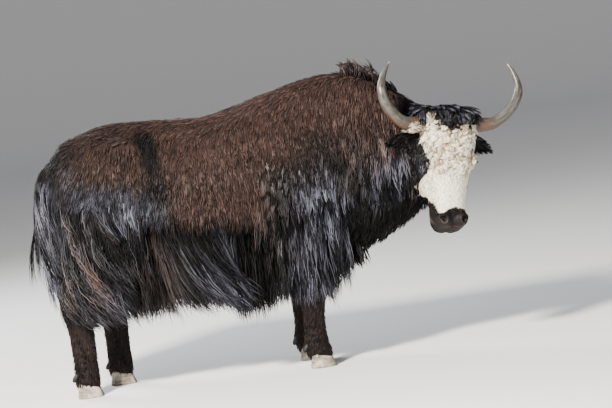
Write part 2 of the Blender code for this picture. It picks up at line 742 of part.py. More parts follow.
def ear(name, side):
    """A cupped leaf that opens forwards, as rings shaped like a crescent."""
    root = Vector((EAR_ROOT.x, side * EAR_ROOT.y, EAR_ROOT.z))
    tip = EAR_TIP[name.split("_")[1]] * Vector((1, side, 1))
    along = (tip - root).normalized()
    faces_to = Vector((1, 0, -0.35))
    faces_to = (faces_to - along * faces_to.dot(along)).normalized()
    across = along.cross(faces_to)
    rings = []
    for s in np.linspace(0, 0.94, 8):
        width = EAR_WIDTH * (0.55 + 0.45 * math.sin(math.pi * min(1, s / 0.45) / 2)) * (1 - s**3) ** 0.8
        depth = EAR_DEPTH * (width / EAR_WIDTH)
        at = root + (tip - root) * s
        outer = [at + across * width * u - faces_to * depth * (1 - u * u) for u in np.linspace(-1, 1, 7)]
        inner = [
            at + across * width * u * 0.94 - faces_to * (depth - EAR_SKIN) * (1 - u * u) for u in np.linspace(0.66, -0.66, 5)
        ]
        rings.append(outer + inner)
    item = loft(name, rings, tip)
    item.data.transform(head_matrix())
    return item


def eye(name, side):
    item = ellipsoid(name, (0, 0, 0), [EYE_RADIUS] * 3, 7, 12)
    item.data.transform(eye_matrix(side))
    return item


def claw(name, leg, inner):
    """Half of a cloven hoof: a flat sole, a sloping front wall and a top that follows the coronet."""
    side = 1 if leg.endswith("left") else -1
    shift = (CLAW_WIDTH / 2 + CLAW_SPLIT / 2) * (-1 if inner else 1) * side
    toe = FOOT_X[leg] + (0.008 if leg.startswith("fore") else 0.014)
    rings = []
    for level, length, width, lean in ((0.0, 1.0, 1.0, 0.0), (0.5, 0.90, 0.97, -0.1), (1.0, 0.80, 0.92, -0.2)):
        ring = []
        for a in np.linspace(0, 2 * math.pi, 12, endpoint=False):
            c, s = math.cos(a), math.sin(a)
            x = CLAW_LENGTH * (0.5 * c * length + 0.06 * lean)
            y = CLAW_WIDTH * 0.5 * s * width * (1 - 0.22 * c)
            z = level * (CORONET - CORONET_SLOPE * x - 0.012)
            ring.append((toe + x, side * FOOT_Y + shift + y, z))
        rings.append(ring)
    return loft(name, rings)


def foot_cut(leg, swell):
    """All that lies under the coronet of a foot."""
    toe = FOOT_X[leg] + (0.008 if leg.startswith("fore") else 0.014)
    at = Vector((toe, 0, CORONET - 0.012 + swell))
    return half_space("under", at, (-CORONET_SLOPE, 0, -1))


def dewclaws(leg):
    side = 1 if leg.endswith("left") else -1
    back = FOOT_X[leg] - (0.066 if leg.startswith("fore") else 0.048)
    return [
        ellipsoid("dewclaw", (back, side * FOOT_Y + offset, 0.096), (0.013, 0.012, 0.020), 5, 7)
        for offset in (-0.026, 0.026)
    ]


def tail_node():
    rows = smooth_rows(TAIL_PATH, 3)
    dock = tube("tail", rows, np.interp(rows[:, 2], (0.66, 0.80, 1.04), (0.030, 0.045, 0.040)), 10)
    skin = surface(dock)
    made = []
    for z, count, length, width in TAIL_ROWS:
        x = np.interp(z, rows[::-1, 2], rows[::-1, 0])
        for i in range(count):
            a = math.pi * (0.35 + 1.3 * (i + 0.5) / count) + random.uniform(-0.15, 0.15)
            out = Vector((math.cos(a), math.sin(a), 0))
            root, normal, _, _ = skin.ray_cast(Vector((x, 0, z)) + out * 0.3, -out)
            lies = out * 0.25 + Vector((0, 0, -1)), tipped(TAIL_LIE, 1, 0.1) + Vector((0, out.y * 0.15, 0))
            made.append(lock(skin, root, normal, lies, varied(length, 0.1), varied(width, 0.1), sink=0.018))
    boolean(dock, "UNION", made)
    return keep_largest(boolean(dock, "INTERSECT", tail_space()))


def build():
    clear_scene()
    random.seed(SEED)
    nodes = body_nodes()
    skull = skull_node()
    for leg in FOOT_X:
        lower = nodes[leg + "_lower"]
        boolean(lower, "UNION", dewclaws(leg))
        boolean(lower, "DIFFERENCE", foot_cut(leg, GAP))
        nodes[leg + "_lower"] = keep_largest(lower)
        for inner in (False, True):
            name = leg + ("_claw_inner" if inner else "_claw_outer")
            nodes[name] = claw(name, leg, inner)
    beside = []
    for side, word in ((-1, "right"), (1, "left")):
        nodes["horn_" + word] = cut_clear(horn("horn_" + word, side), [skull])
        nodes["ear_" + word] = cut_clear(ear("ear_" + word, side), [skull, nodes["neck"], nodes["horn_" + word]])
        nodes["eye_" + word] = eye("eye_" + word, side)
        beside += [nodes["horn_" + word], nodes["ear_" + word]]
    nodes["head"] = head_node(skull, beside)
    nodes["tail"] = tail_node()
    for name, item in nodes.items():
        slot = "coat"
        for word in ("horn", "eye", "claw"):
            slot = {"horn": "horn", "eye": "eye", "claw": "hoof"}[word] if word in name else slot
        item.name = name
        item.data.transform(Matrix.Translation(ORIGIN))
        paint(item, slot)


build()
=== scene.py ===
"""Looks of a standing yak: skin, coat, eyes, horns and hooves over its solids. Metres, +Z up, heading +X.

Stations count x forwards from the right forefoot, y to the animal's left and z up from the ground, and each mesh moves
by ORIGIN when it is finished. The coat is made of thin closed strands in clumps that follow the lie of the hair.
"""

import math

import bpy
import numpy as np
from bpy.props import FloatProperty, FloatVectorProperty, IntProperty, PointerProperty
from mathutils import Matrix, Vector, kdtree
from mathutils.bvhtree import BVHTree


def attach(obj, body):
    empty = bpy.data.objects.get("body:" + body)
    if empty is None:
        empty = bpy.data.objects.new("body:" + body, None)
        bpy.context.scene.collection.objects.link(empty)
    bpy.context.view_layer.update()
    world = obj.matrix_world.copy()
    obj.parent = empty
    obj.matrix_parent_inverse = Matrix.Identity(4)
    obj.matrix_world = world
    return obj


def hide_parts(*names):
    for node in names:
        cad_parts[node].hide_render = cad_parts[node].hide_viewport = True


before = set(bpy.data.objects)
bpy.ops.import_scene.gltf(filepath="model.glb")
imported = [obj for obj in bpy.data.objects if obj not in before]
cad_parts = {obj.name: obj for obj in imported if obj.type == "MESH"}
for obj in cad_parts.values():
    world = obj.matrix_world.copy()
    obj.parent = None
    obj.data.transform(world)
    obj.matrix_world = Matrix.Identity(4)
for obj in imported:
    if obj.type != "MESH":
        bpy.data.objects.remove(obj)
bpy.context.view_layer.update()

bl_info = {
    "name": "Yak coat and skin",
    "version": (1, 0, 0),
    "blender": (4, 5, 0),
    "location": "View3D > Sidebar > Yak",
    "description": "Dresses the solids of a standing yak with skin, coat, eyes, horns and hooves",
    "category": "Object",
}

NODES = sorted(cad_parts)
FLESH = [name for name in NODES if name.split("_")[0] not in ("eye", "horn") and "claw" not in name]
SEED = 11

# The whole animal
ORIGIN = np.array([0.088, 0.0, 0.0])
WIDEST = 0.45
# Trunk stations: x, top, bottom, half width, sideways, roundness above, roundness below
TRUNK = (
    (-1.160, 1.035, 0.880, 0.050, 0.000, 2.0, 2.0),
    (-1.120, 1.090, 0.760, 0.150, 0.000, 2.0, 2.0),
    (-1.000, 1.185, 0.640, 0.235, 0.000, 2.0, 2.1),
    (-0.850, 1.230, 0.560, 0.262, 0.000, 1.9, 2.0),
    (-0.660, 1.226, 0.500, 0.285, 0.000, 1.8, 1.9),
    (-0.400, 1.210, 0.465, 0.328, 0.000, 2.0, 1.9),
    (-0.140, 1.270, 0.460, 0.318, 0.000, 1.8, 1.9),
    (0.080, 1.322, 0.475, 0.280, 0.000, 1.7, 2.0),
    (0.270, 1.328, 0.505, 0.225, 0.000, 1.7, 2.1),
    (0.420, 1.270, 0.570, 0.175, -0.005, 1.8, 2.0),
    (0.560, 1.165, 0.660, 0.138, -0.022, 2.0, 2.0),
    (0.680, 1.070, 0.760, 0.105, -0.055, 2.0, 2.0),
)
FOOT_X = {"fore_right": 0.000, "fore_left": -0.045, "hind_right": -1.078, "hind_left": -0.945}
FOOT_Y = 0.150
SHOULDER_X = 0.020
HIP_X = -0.920
# Limb stations: x from the foot or the joint above, y, z, fore-and-aft radius, sideways radius, share of the foot's x
FORE_LIMB = (
    (0.010, 0.130, 0.900, 0.150, 0.100, 0.0),
    (0.005, 0.145, 0.700, 0.125, 0.095, 0.0),
    (0.010, 0.155, 0.520, 0.085, 0.075, 0.5),
    (0.014, 0.152, 0.400, 0.064, 0.058, 0.9),
    (0.002, 0.150, 0.335, 0.062, 0.058, 1.0),
    (-0.008, 0.150, 0.240, 0.053, 0.047, 1.0),
    (-0.010, 0.150, 0.160, 0.053, 0.046, 1.0),
    (-0.012, 0.150, 0.108, 0.061, 0.056, 1.0),
    (-0.004, 0.150, 0.070, 0.060, 0.057, 1.0),
    (0.002, 0.150, 0.030, 0.050, 0.050, 1.0),
)
HIND_LIMB = (
    (0.000, 0.120, 1.020, 0.180, 0.110, 0.0),
    (0.005, 0.145, 0.840, 0.200, 0.125, 0.0),
    (0.010, 0.155, 0.680, 0.165, 0.105, 0.2),
    (0.020, 0.155, 0.550, 0.110, 0.080, 0.7),
    (0.008, 0.150, 0.440, 0.082, 0.060, 1.0),
    (0.004, 0.150, 0.370, 0.068, 0.053, 1.0),
    (0.010, 0.150, 0.280, 0.061, 0.048, 1.0),
    (0.010, 0.150, 0.170, 0.058, 0.047, 1.0),
    (0.008, 0.150, 0.108, 0.060, 0.055, 1.0),
    (0.008, 0.150, 0.070, 0.058, 0.056, 1.0),
    (0.010, 0.150, 0.030, 0.050, 0.050, 1.0),
)
MUSCLES = (
    ((-0.930, 0.130, 0.960), (0.210, 0.150, 0.240)),
    ((-0.790, 0.170, 1.085), (0.115, 0.062, 0.085)),
    ((0.020, 0.120, 0.860), (0.190, 0.155, 0.290)),
    ((-0.420, 0.060, 0.740), (0.400, 0.280, 0.250)),
)
TAIL_PATH = (
    (-1.120, 0, 1.040, 0.040),
    (-1.165, 0, 0.995, 0.036),
    (-1.178, 0, 0.900, 0.026),
    (-1.180, 0, 0.780, 0.020),
    (-1.172, 0, 0.640, 0.012),
)

# Head frame: x out of the face, y to the animal's left, z up, with its origin between the horns
HEAD_AT = Vector((0.716, -0.160, 1.045))
HEAD_YAW = math.radians(-70)
HEAD_ROLL = math.radians(-8.5)
HEAD_PITCH = math.radians(-5)
HEAD_CUT_AT = np.array([0.637, -0.015, 0.900])
HEAD_CUT_NORMAL = np.array([0.725, -0.689, 0.0])
# Head stations: z, face, back, half width
HEAD = (
    (0.066, -0.020, -0.090, 0.050),
    (0.048, 0.020, -0.130, 0.112),
    (0.000, 0.045, -0.165, 0.132),
    (-0.070, 0.060, -0.185, 0.130),
    (-0.150, 0.060, -0.200, 0.122),
    (-0.215, 0.052, -0.205, 0.113),
    (-0.295, 0.040, -0.180, 0.093),
    (-0.380, 0.032, -0.150, 0.079),
    (-0.440, 0.028, -0.138, 0.081),
    (-0.482, 0.014, -0.124, 0.077),
    (-0.510, -0.018, -0.100, 0.052),
)
HEAD_LUMPS = (
    ((-0.105, 0.082, -0.240), (0.090, 0.038, 0.110)),
    ((-0.008, 0.096, -0.192), (0.048, 0.029, 0.040)),
    ((0.000, 0.040, -0.450), (0.042, 0.042, 0.040)),
    ((-0.070, 0.022, -0.478), (0.045, 0.045, 0.038)),
    ((-0.045, 0.085, 0.015), (0.070, 0.072, 0.050)),
)
EYE_AT = np.array([-0.0024, 0.1061, -0.202])
EYE_FRONT = np.array([0.0068, 0.1233, -0.202])
EYE_RADIUS = 0.0195
EYE_TURN = math.radians(62)
LID_OPEN = (0.0190, 0.0128)
LID_THICK = 0.0036
SOCKET = (0.0180, 0.0125)
SOCKET_DEPTH = 0.018
NOSTRIL_AT = np.array([0.038, 0.048, -0.452])
MOUTH_LINE = (
    (-0.090, 0.072, -0.412),
    (-0.066, 0.080, -0.440),
    (-0.038, 0.074, -0.464),
    (-0.006, 0.046, -0.484),
    (0.008, 0.000, -0.489),
)
# Horn stations: out, up, forwards, radius
HORN = (
    (0.080, -0.012, -0.035, 0.036),
    (0.135, -0.018, -0.030, 0.035),
    (0.185, -0.020, -0.022, 0.032),
    (0.228, -0.010, -0.012, 0.029),
    (0.275, 0.022, -0.002, 0.0265),
    (0.318, 0.073, 0.002, 0.0235),
    (0.339, 0.130, -0.002, 0.0200),
    (0.333, 0.182, -0.014, 0.0155),
    (0.314, 0.230, -0.028, 0.0100),
    (0.293, 0.262, -0.038, 0.0035),
)
HORN_LEAN = 0.09
EAR_ROOT = np.array([-0.062, 0.100, -0.080])
EAR_TIP = {"right": (-0.045, 0.296, -0.104), "left": (-0.150, 0.268, -0.128)}
EAR_WIDTH = 0.044
EAR_DEPTH = 0.024
EAR_SKIN = 0.0075

# Borders of the white face: its reach back on either side by height, its top and its foot by sideways place
WHITE_RIGHT = (
    (-0.44, 0.030), (-0.426, 0.018), (-0.378, -0.035), (-0.352, -0.085), (-0.335, -0.125), (-0.296, -0.105),
    (-0.270, -0.078), (-0.237, -0.028), (-0.222, 0.000), (-0.187, 0.012), (-0.130, 0.005), (-0.112, -0.025),
    (-0.095, -0.042), (-0.050, -0.045), (-0.010, -0.030), (0.030, -0.010),
)
WHITE_LEFT = ((-0.44, 0.010), (-0.38, -0.030), (-0.30, -0.050), (-0.25, -0.030), (-0.10, -0.020), (0.0, -0.020))
WHITE_TOP = (
    (-0.130, -0.035), (-0.120, -0.006), (-0.087, 0.006), (-0.064, 0.002), (-0.056, -0.024), (-0.034, -0.044),
    (-0.005, -0.043), (0.017, -0.025), (0.047, -0.034), (0.090, -0.018), (0.134, -0.009),
)
WHITE_FOOT = (
    (-0.120, -0.345), (-0.085, -0.362), (-0.073, -0.385), (-0.062, -0.424), (-0.038, -0.422), (-0.018, -0.408),
    (0.006, -0.395), (0.032, -0.399), (0.060, -0.404), (0.090, -0.390),
)

# Feet
CORONET = 0.066
CORONET_SLOPE = 0.28
CLAW_LENGTH = 0.116
CLAW_WIDTH = 0.054
CLAW_SPLIT = 0.005

# Lower edge of the flank's short coat, and the hems of the long coat, each as x, z
SHELF = ((-0.80, 0.74), (-0.66, 0.765), (-0.40, 0.735), (-0.155, 0.690), (-0.05, 0.66))
SKIRT_HEM = ((-0.95, 0.36), (-0.75, 0.340), (-0.60, 0.300), (-0.42, 0.280), (-0.27, 0.300), (-0.14, 0.310))
ARM_HEM = ((-0.20, 0.300), (-0.06, 0.300), (0.12, 0.300), (0.22, 0.340))
THIGH_HEM = ((-1.20, 0.36), (-1.05, 0.32), (-0.85, 0.305), (-0.72, 0.38))

# Camera: what it aims at in stations, how far, from where, and the roll that the photo's slope gives it
CAMERA_AIM = Vector((0.0225, 0.0, 0.736))
CAMERA_DISTANCE = 12.0
CAMERA_ELEVATION = math.radians(4.5)
CAMERA_ROLL = math.radians(-7.5)
CAMERA_LENS = 153.2
SENSOR = 36.0
FLOOR_REACH = 20.0
FLOOR_CURVE = 9.0

BAKE_PATCH = 0.003


class CoatSettings(bpy.types.PropertyGroup):
    strands: IntProperty(name="Strands", description="Share of the full number of strands, in percent",
                         default=100, min=1, max=100, subtype="PERCENTAGE")
    long_width: FloatProperty(name="Long strand width", description="Width of a strand of the long coat",
                              default=0.0052, unit="LENGTH")
    short_width: FloatProperty(name="Short strand width", description="Width of a strand of the short coat",
                               default=0.0045, unit="LENGTH")
    black: FloatVectorProperty(name="Black", description="Colour of the dark coat", subtype="COLOR",
                               default=(0.0050, 0.0040, 0.0042))
    brown: FloatVectorProperty(name="Brown", description="Colour of the back and the ribs", subtype="COLOR",
                               default=(0.050, 0.0280, 0.0225))
    # Grey is painted sheen: the sky's reflection on the glossy black hair, put into the hair's colour.
    grey: FloatVectorProperty(name="Grey", description="Colour of the sheen on the long coat", subtype="COLOR",
                              default=(0.052, 0.054, 0.073))
    white: FloatVectorProperty(name="White", description="Colour of the face", subtype="COLOR",
                               default=(0.96, 0.90, 0.75))
    # Cream is painted golden shade: mixed into the roots of the face's white locks and the skin between them.
    cream: FloatVectorProperty(name="Cream", description="Colour of the darker locks of the face", subtype="COLOR",
                               default=(0.44, 0.31, 0.16))
    tan: FloatVectorProperty(name="Tan", description="Colour of the bleached tips of the long coat",
                             subtype="COLOR", default=(0.16, 0.075, 0.040))


class BodySettings(bpy.types.PropertyGroup):
    body_voxel: FloatProperty(name="Body detail", description="Size of the body's skin cells", default=0.0122,
                              unit="LENGTH")
    head_voxel: FloatProperty(name="Head detail", description="Size of the head's skin cells", default=0.0039,
                              unit="LENGTH")
    horn_rings: IntProperty(name="Horn rings", description="Growth rings at the foot of each horn", default=9)
    ring_depth: FloatProperty(name="Ring depth", description="Height of a growth ring", default=0.0011,
                              unit="LENGTH")
    skin: FloatVectorProperty(name="Bare skin", description="Colour of the muzzle and the lids", subtype="COLOR",
                              default=(0.010, 0.008, 0.008))
    lip: FloatVectorProperty(name="Lip", description="Colour of the rims of the lips and the nostrils",
                             subtype="COLOR", default=(0.13, 0.085, 0.055))
    horn_pale: FloatVectorProperty(name="Pale horn", description="Colour along a horn", subtype="COLOR",
                                   default=(0.080, 0.077, 0.066))
    # Dark horn is both the foot's own colour and painted shade along each horn's underside.
    horn_dark_and_shade: FloatVectorProperty(name="Dark horn", description="Colour of a horn's foot and streaks",
                                   subtype="COLOR", default=(0.060, 0.030, 0.012))
    hoof: FloatVectorProperty(name="Hoof", description="Colour of the hooves", subtype="COLOR",
                              default=(0.24, 0.21, 0.17))


def body_settings():
    return bpy.context.scene.yak_body


def coat_settings():
    return bpy.context.scene.yak_coat


# Shader maths


class Socket:
    """A shader socket on which Python's operators add Math nodes."""

    def __init__(self, shade, link):
        self.shade = shade
        self.link = link

    def math(self, operation, *values):
        return self.shade.node("ShaderNodeMath", {"operation": operation}, *values)

    def __add__(self, other):
        return self.math("ADD", self, other)

    __radd__ = __add__

    def __mul__(self, other):
        return self.math("MULTIPLY", self, other)

    __rmul__ = __mul__

    def __sub__(self, other):
        return self.math("SUBTRACT", self, other)

    def __rsub__(self, other):
        return self.math("SUBTRACT", other, self)

    def __pow__(self, other):
        return self.math("POWER", self, other)

    def step(self, low, high):
        """0 below low, 1 above high and smooth between; the other way round where low is the higher."""
        settings = {"interpolation_type": "SMOOTHSTEP"}
        flip = low > high
        bounds = (high, low, 1.0, 0.0) if flip else (low, high, 0.0, 1.0)
        return self.shade.node("ShaderNodeMapRange", settings, self, *bounds)


class Shade:
    """A material under construction."""

    def __init__(self, name, **constants):
        self.material = bpy.data.materials.new(name)
        self.material.use_nodes = True
        self.tree = self.material.node_tree
        self.principled = self.tree.nodes["Principled BSDF"]
        for socket, value in constants.items():
            self.principled.inputs[socket.replace("_", " ")].default_value = value

    def node(self, kind, settings, *values, output=0, **named):
        """Any node: its type, its settings, then the values or links of its sockets in order or by name."""
        made = self.tree.nodes.new(kind)
        for key, value in settings.items():
            setattr(made, key, value)
        pairs = list(enumerate(values)) + [(key.replace("_", " "), value) for key, value in named.items()]
        for key, value in pairs:
            if isinstance(value, Socket):
                self.tree.links.new(value.link, made.inputs[key])
            elif value is not None:
                made.inputs[key].default_value = value
        return Socket(self, made.outputs[output])

    def attribute(self, name, output="Vector"):
        return self.node("ShaderNodeAttribute", {"attribute_name": name}, output=output)

    def parts(self, name):
        """The three numbers of an attribute."""
        made = self.tree.nodes.new("ShaderNodeSeparateXYZ")
        self.tree.links.new(self.attribute(name).link, made.inputs[0])
        return [Socket(self, made.outputs[i]) for i in range(3)]

    def place(self, scale=(1, 1, 1), rotation=(0, 0, 0)):
        """Object coordinates through a Mapping node."""
        made = self.tree.nodes.new("ShaderNodeTexCoord")
        return self.node("ShaderNodeMapping", {}, Socket(self, made.outputs["Object"]), Rotation=rotation, Scale=scale)

    def noise(self, vector, scale, detail=3.0, roughness=0.55):
        return self.node("ShaderNodeTexNoise", {}, Vector=vector, Scale=scale, Detail=detail, Roughness=roughness)

    def mix(self, factor, first, second, blend="MIX"):
        """Two colours, or links to colours, mixed."""
        made = self.tree.nodes.new("ShaderNodeMix")
        made.data_type = "RGBA"
        made.blend_type = blend
        for key, value in ((0, factor), (6, first), (7, second)):
            if isinstance(value, Socket):
                self.tree.links.new(value.link, made.inputs[key])
            else:
                made.inputs[key].default_value = value if key == 0 else (*tuple(value)[:3], 1)
        return Socket(self, made.outputs[2])

    def grey(self, value):
        """A number as a colour."""
        return self.node("ShaderNodeCombineColor", {}, value, value, value)

    def bump(self, height, distance, strength=1.0):
        return self.node("ShaderNodeBump", {}, Height=height, Distance=distance, Strength=strength)

    def finish(self, **links):
        for socket, value in links.items():
            target = self.principled.inputs[socket.replace("_", " ")]
            if isinstance(value, Socket):
                self.tree.links.new(value.link, target)
            else:
                target.default_value = value
        return self.material


# Shapes, as points and faces


def smooth_rows(rows, steps):
    """Catmull-Rom rows through the stations, with each interval split into that many steps."""
    table = np.array(rows, float)
    padded = np.vstack([2 * table[0] - table[1], table, 2 * table[-1] - table[-2]])
    made = []
    for i in range(len(table) - 1):
        a, b, c, d = padded[i : i + 4]
        for t in np.linspace(0, 1, steps, endpoint=False):
            made.append(
                0.5 * (2 * b + (c - a) * t + (2 * a - 5 * b + 4 * c - d) * t**2 + (3 * b - a - 3 * c + d) * t**3)
            )
    made.append(table[-1])
    return np.array(made)


def volume(points, triangles):
    return np.linalg.det(points[triangles]).sum() / 6


def loft(rings, tip=None):
    """A closed body through rings of equal length: its points and triangles, facing out."""
    rings = np.array(rings, float)
    count, sides, _ = rings.shape
    j = np.arange(sides)
    k = (j + 1) % sides
    triangles = []
    for i in range(count - 1):
        a, b = i * sides, (i + 1) * sides
        triangles += [np.stack([a + j, a + k, b + k], 1), np.stack([a + j, b + k, b + j], 1)]
    ends = [rings[0].mean(0), rings[-1].mean(0) if tip is None else np.array(tip, float)]
    points = np.vstack([rings.reshape(-1, 3), ends])
    first, last = len(points) - 2, len(points) - 1
    base = (count - 1) * sides
    triangles += [np.stack([k, j, np.full(sides, first)], 1), np.stack([base + j, base + k, np.full(sides, last)], 1)]
    triangles = np.vstack(triangles)
    if volume(points, triangles) < 0:
        triangles = triangles[:, ::-1]
    return points, triangles


def ellipsoid(centre, radii, rings=12, sides=20):
    made = []
    turn = np.linspace(0, 2 * math.pi, sides, endpoint=False)
    for a in np.linspace(0, math.pi, rings + 1)[1:-1]:
        ring = np.stack([math.sin(a) * np.cos(turn), math.sin(a) * np.sin(turn), np.full(sides, -math.cos(a))], 1)
        made.append(np.array(centre) + ring * radii)
    ends = np.array(centre) - (0, 0, radii[2]), np.array(centre) + (0, 0, radii[2])
    points, triangles = loft(made, ends[1])
    points[-2] = ends[0]
    return points, triangles


def oval(half_width, up, down, above, below, sides):
    """Points of a closed section, wider than an ellipse where its roundness is over 2: (sideways, up)."""
    turn = np.linspace(0, 2 * math.pi, sides, endpoint=False)
    c, s = np.cos(turn), np.sin(turn)
    n = np.where(s > 0, above, below)
    y = half_width * np.sign(c) * np.abs(c) ** (2 / n)
    z = np.where(s > 0, up, down) * np.sign(s) * np.abs(s) ** (2 / n)
    return y, z


def moved(shape, matrix):
    points, triangles = shape
    matrix = np.array(matrix, float)
    return points @ matrix[:3, :3].T + matrix[:3, 3], triangles


def joined(shapes):
    points, triangles, start = [], [], 0
    for p, t in shapes:
        points.append(p)
        triangles.append(t + start)
        start += len(p)
    return np.vstack(points), np.vstack(triangles)


def trunk(first=None, shrink=1.0):
    rings = []
    for x, top, bottom, half_width, sideways, above, below in smooth_rows(TRUNK, 6):
        if first is not None and x < first:
            continue
        middle = bottom + WIDEST * (top - bottom)
        y, z = oval(half_width * shrink, (top - middle) * shrink, (middle - bottom) * shrink, above, below, 40)
        rings.append(np.stack([np.full(40, x), sideways + y, middle + z], axis=1))
    return loft(rings)


def limb(leg):
    fore, side = leg.startswith("fore"), 1 if leg.endswith("left") else -1
    joint = SHOULDER_X if fore else HIP_X
    rings = []
    for x, y, z, rx, ry, share in smooth_rows(FORE_LIMB if fore else HIND_LIMB, 4):
        across, along = oval(rx, ry, ry, 2, 2, 24)
        centre = joint + share * (FOOT_X[leg] - joint) + x
        rings.append(np.stack([centre + across, side * y + along, np.full(24, z)], axis=1))
    return loft(rings)


def tube(path, radii, sides):
    """A round bar along a path with a radius at each point."""
    path = [Vector(p) for p in path]
    rings, across = [], None
    for i, at in enumerate(path):
        along = (path[min(i + 1, len(path) - 1)] - path[max(i - 1, 0)]).normalized()
        across = across or along.orthogonal().normalized()
        across = (across - along * across.dot(along)).normalized()
        other = along.cross(across)
        turn = np.linspace(0, 2 * math.pi, sides, endpoint=False)
        rings.append([at + float(radii[i]) * (math.cos(a) * across + math.sin(a) * other) for a in turn])
    return loft(rings)


def head_matrix():
    turn = Matrix.Rotation(HEAD_YAW, 4, "Z") @ Matrix.Rotation(HEAD_ROLL, 4, "X") @ Matrix.Rotation(HEAD_PITCH, 4, "Y")
    return Matrix.Translation(HEAD_AT) @ turn


def to_head(points):
    """Points in the head's own frame."""
    inverse = np.array(head_matrix().inverted())
    return points @ inverse[:3, :3].T + inverse[:3, 3]


def from_head(points):
    matrix = np.array(head_matrix())
    return np.asarray(points) @ matrix[:3, :3].T + matrix[:3, 3]


def turn_from_head(ways):
    return np.asarray(ways) @ np.array(head_matrix())[:3, :3].T


def eye_matrix(side):
    """Eye frame: x out of the socket, z up the face."""
    turn = Matrix.Rotation(side * EYE_TURN, 4, "Z")
    at = Matrix.Translation((EYE_AT[0], side * EYE_AT[1], EYE_AT[2]))
    return head_matrix() @ at @ turn


def both_sides(centre, radii):
    return [ellipsoid((centre[0], side * centre[1], centre[2]), radii) for side in (-1, 1)]


def ear_shape(word):
    """A cupped leaf that opens forwards."""
    side = -1 if word == "right" else 1
    root = EAR_ROOT * (1, side, 1)
    tip = np.array(EAR_TIP[word]) * (1, side, 1)
    along = (tip - root) / np.linalg.norm(tip - root)
    faces_to = np.array([1, 0, -0.35])
    faces_to = faces_to - along * faces_to.dot(along)
    faces_to /= np.linalg.norm(faces_to)
    across = np.cross(along, faces_to)
    rings = []
    for s in np.linspace(0, 0.96, 16):
        width = EAR_WIDTH * (0.55 + 0.45 * math.sin(math.pi * min(1, s / 0.45) / 2)) * (1 - s**3) ** 0.8
        depth = EAR_DEPTH * (width / EAR_WIDTH)
        at = root + (tip - root) * s
        outer = [at + across * width * u - faces_to * depth * (1 - u * u) for u in np.linspace(-1, 1, 13)]
        inner = [
            at + across * width * u * 0.94 - faces_to * (depth - EAR_SKIN) * (1 - u * u)
            for u in np.linspace(0.86, -0.86, 11)
        ]
        rings.append(outer + inner)
    return moved(loft(rings, tip), head_matrix())


def lid_shape(side):
    """A ring round the eye's opening, drawn in to an almond."""
    rings = []
    turn = np.linspace(0, 2 * math.pi, 28, endpoint=False)
    for a in turn:
        out = np.array([0, math.cos(a), math.sin(a)])
        lower = 0.9 if math.sin(a) < 0 else 1.0
        centre = np.array([0.0, LID_OPEN[0] * out[1], LID_OPEN[1] * lower * out[2]])
        centre[0] = math.sqrt(max((EYE_RADIUS * 1.03) ** 2 - centre @ centre, 0.011**2))
        thick = LID_THICK * (1.0 + 0.25 * math.sin(a))
        ring = [
            centre + thick * (math.cos(b) * out + math.sin(b) * np.array([1.0, 0, 0]))
            for b in np.linspace(0, 2 * math.pi, 10, endpoint=False)
        ]
        rings.append(ring)
    rings = np.array(rings)
    i, j = np.meshgrid(np.arange(28), np.arange(10), indexing="ij")
    n, k = (i + 1) % 28, (j + 1) % 10
    a, b, c, d = i * 10 + j, i * 10 + k, n * 10 + k, n * 10 + j
    triangles = np.vstack([np.stack([a, b, c], -1).reshape(-1, 3), np.stack([a, c, d], -1).reshape(-1, 3)])
    points = rings.reshape(-1, 3)
    if volume(points, triangles) < 0:
        triangles = triangles[:, ::-1]
    return moved((points, triangles), eye_matrix(side))


def head_shape():
    rings = []
    for z, face, back, half_width in smooth_rows(HEAD, 6):
        middle = back + 0.55 * (face - back)
        y, x = oval(half_width, face - middle, middle - back, 2.5, 2.0, 40)
        rings.append(np.stack([middle + x, y, np.full(40, z)], axis=1))
    shapes = [loft(rings)]
    for centre, radii in HEAD_LUMPS:
        shapes += both_sides(centre, radii)
    return [moved(shape, head_matrix()) for shape in shapes]


# Meshes


def fast_mesh(name, points, triangles):
    """A smooth mesh object from arrays."""
    mesh = bpy.data.meshes.new(name)
    mesh.vertices.add(len(points))
    mesh.vertices.foreach_set("co", np.asarray(points, np.float32).ravel())
    mesh.loops.add(len(triangles) * 3)
    mesh.loops.foreach_set("vertex_index", np.asarray(triangles, np.int32).ravel())
    mesh.polygons.add(len(triangles))
    mesh.polygons.foreach_set("loop_start", np.arange(0, len(triangles) * 3, 3, dtype=np.int32))
    mesh.update(calc_edges=True)
    mesh.shade_smooth()
    item = bpy.data.objects.new(name, mesh)
    bpy.context.scene.collection.objects.link(item)
    return item


def baked(item):
    """The object's modifiers made a plain mesh."""
    graph = bpy.context.evaluated_depsgraph_get()
    made = bpy.data.meshes.new_from_object(item.evaluated_get(graph))
    item.modifiers.clear()
    old = item.data
    item.data = made
    if isinstance(old, bpy.types.Mesh):
        bpy.data.meshes.remove(old)
    return item


def remeshed(name, shapes, voxel, rounds):
    """One smooth skin round overlapping shapes."""
    item = fast_mesh(name, *joined(shapes))
    remesh = item.modifiers.new("skin", "REMESH")
    remesh.mode = "VOXEL"
    remesh.voxel_size = voxel
    soften = item.modifiers.new("soften", "SMOOTH")
    soften.factor = 0.5
    soften.iterations = rounds
    return baked(item)


def arrays(item):
    """Points, normals and triangles of a mesh object."""
    mesh = item.data
    mesh.calc_loop_triangles()
    points = np.empty(len(mesh.vertices) * 3)
    mesh.vertices.foreach_get("co", points)
    normals = np.empty(len(mesh.vertices) * 3)
    mesh.vertices.foreach_get("normal", normals)
    triangles = np.empty(len(mesh.loop_triangles) * 3, int)
    mesh.loop_triangles.foreach_get("vertices", triangles)
    return points.reshape(-1, 3), normals.reshape(-1, 3), triangles.reshape(-1, 3)


def set_points(item, points):
    item.data.vertices.foreach_set("co", np.asarray(points, np.float32).ravel())
    item.data.update()


def smooth(x, low, high):
    """0 below low, 1 above high and smooth between; the other way round where low is the higher."""
    t = np.clip((np.asarray(x, float) - low) / (high - low), 0, 1)
    return t * t * (3 - 2 * t)


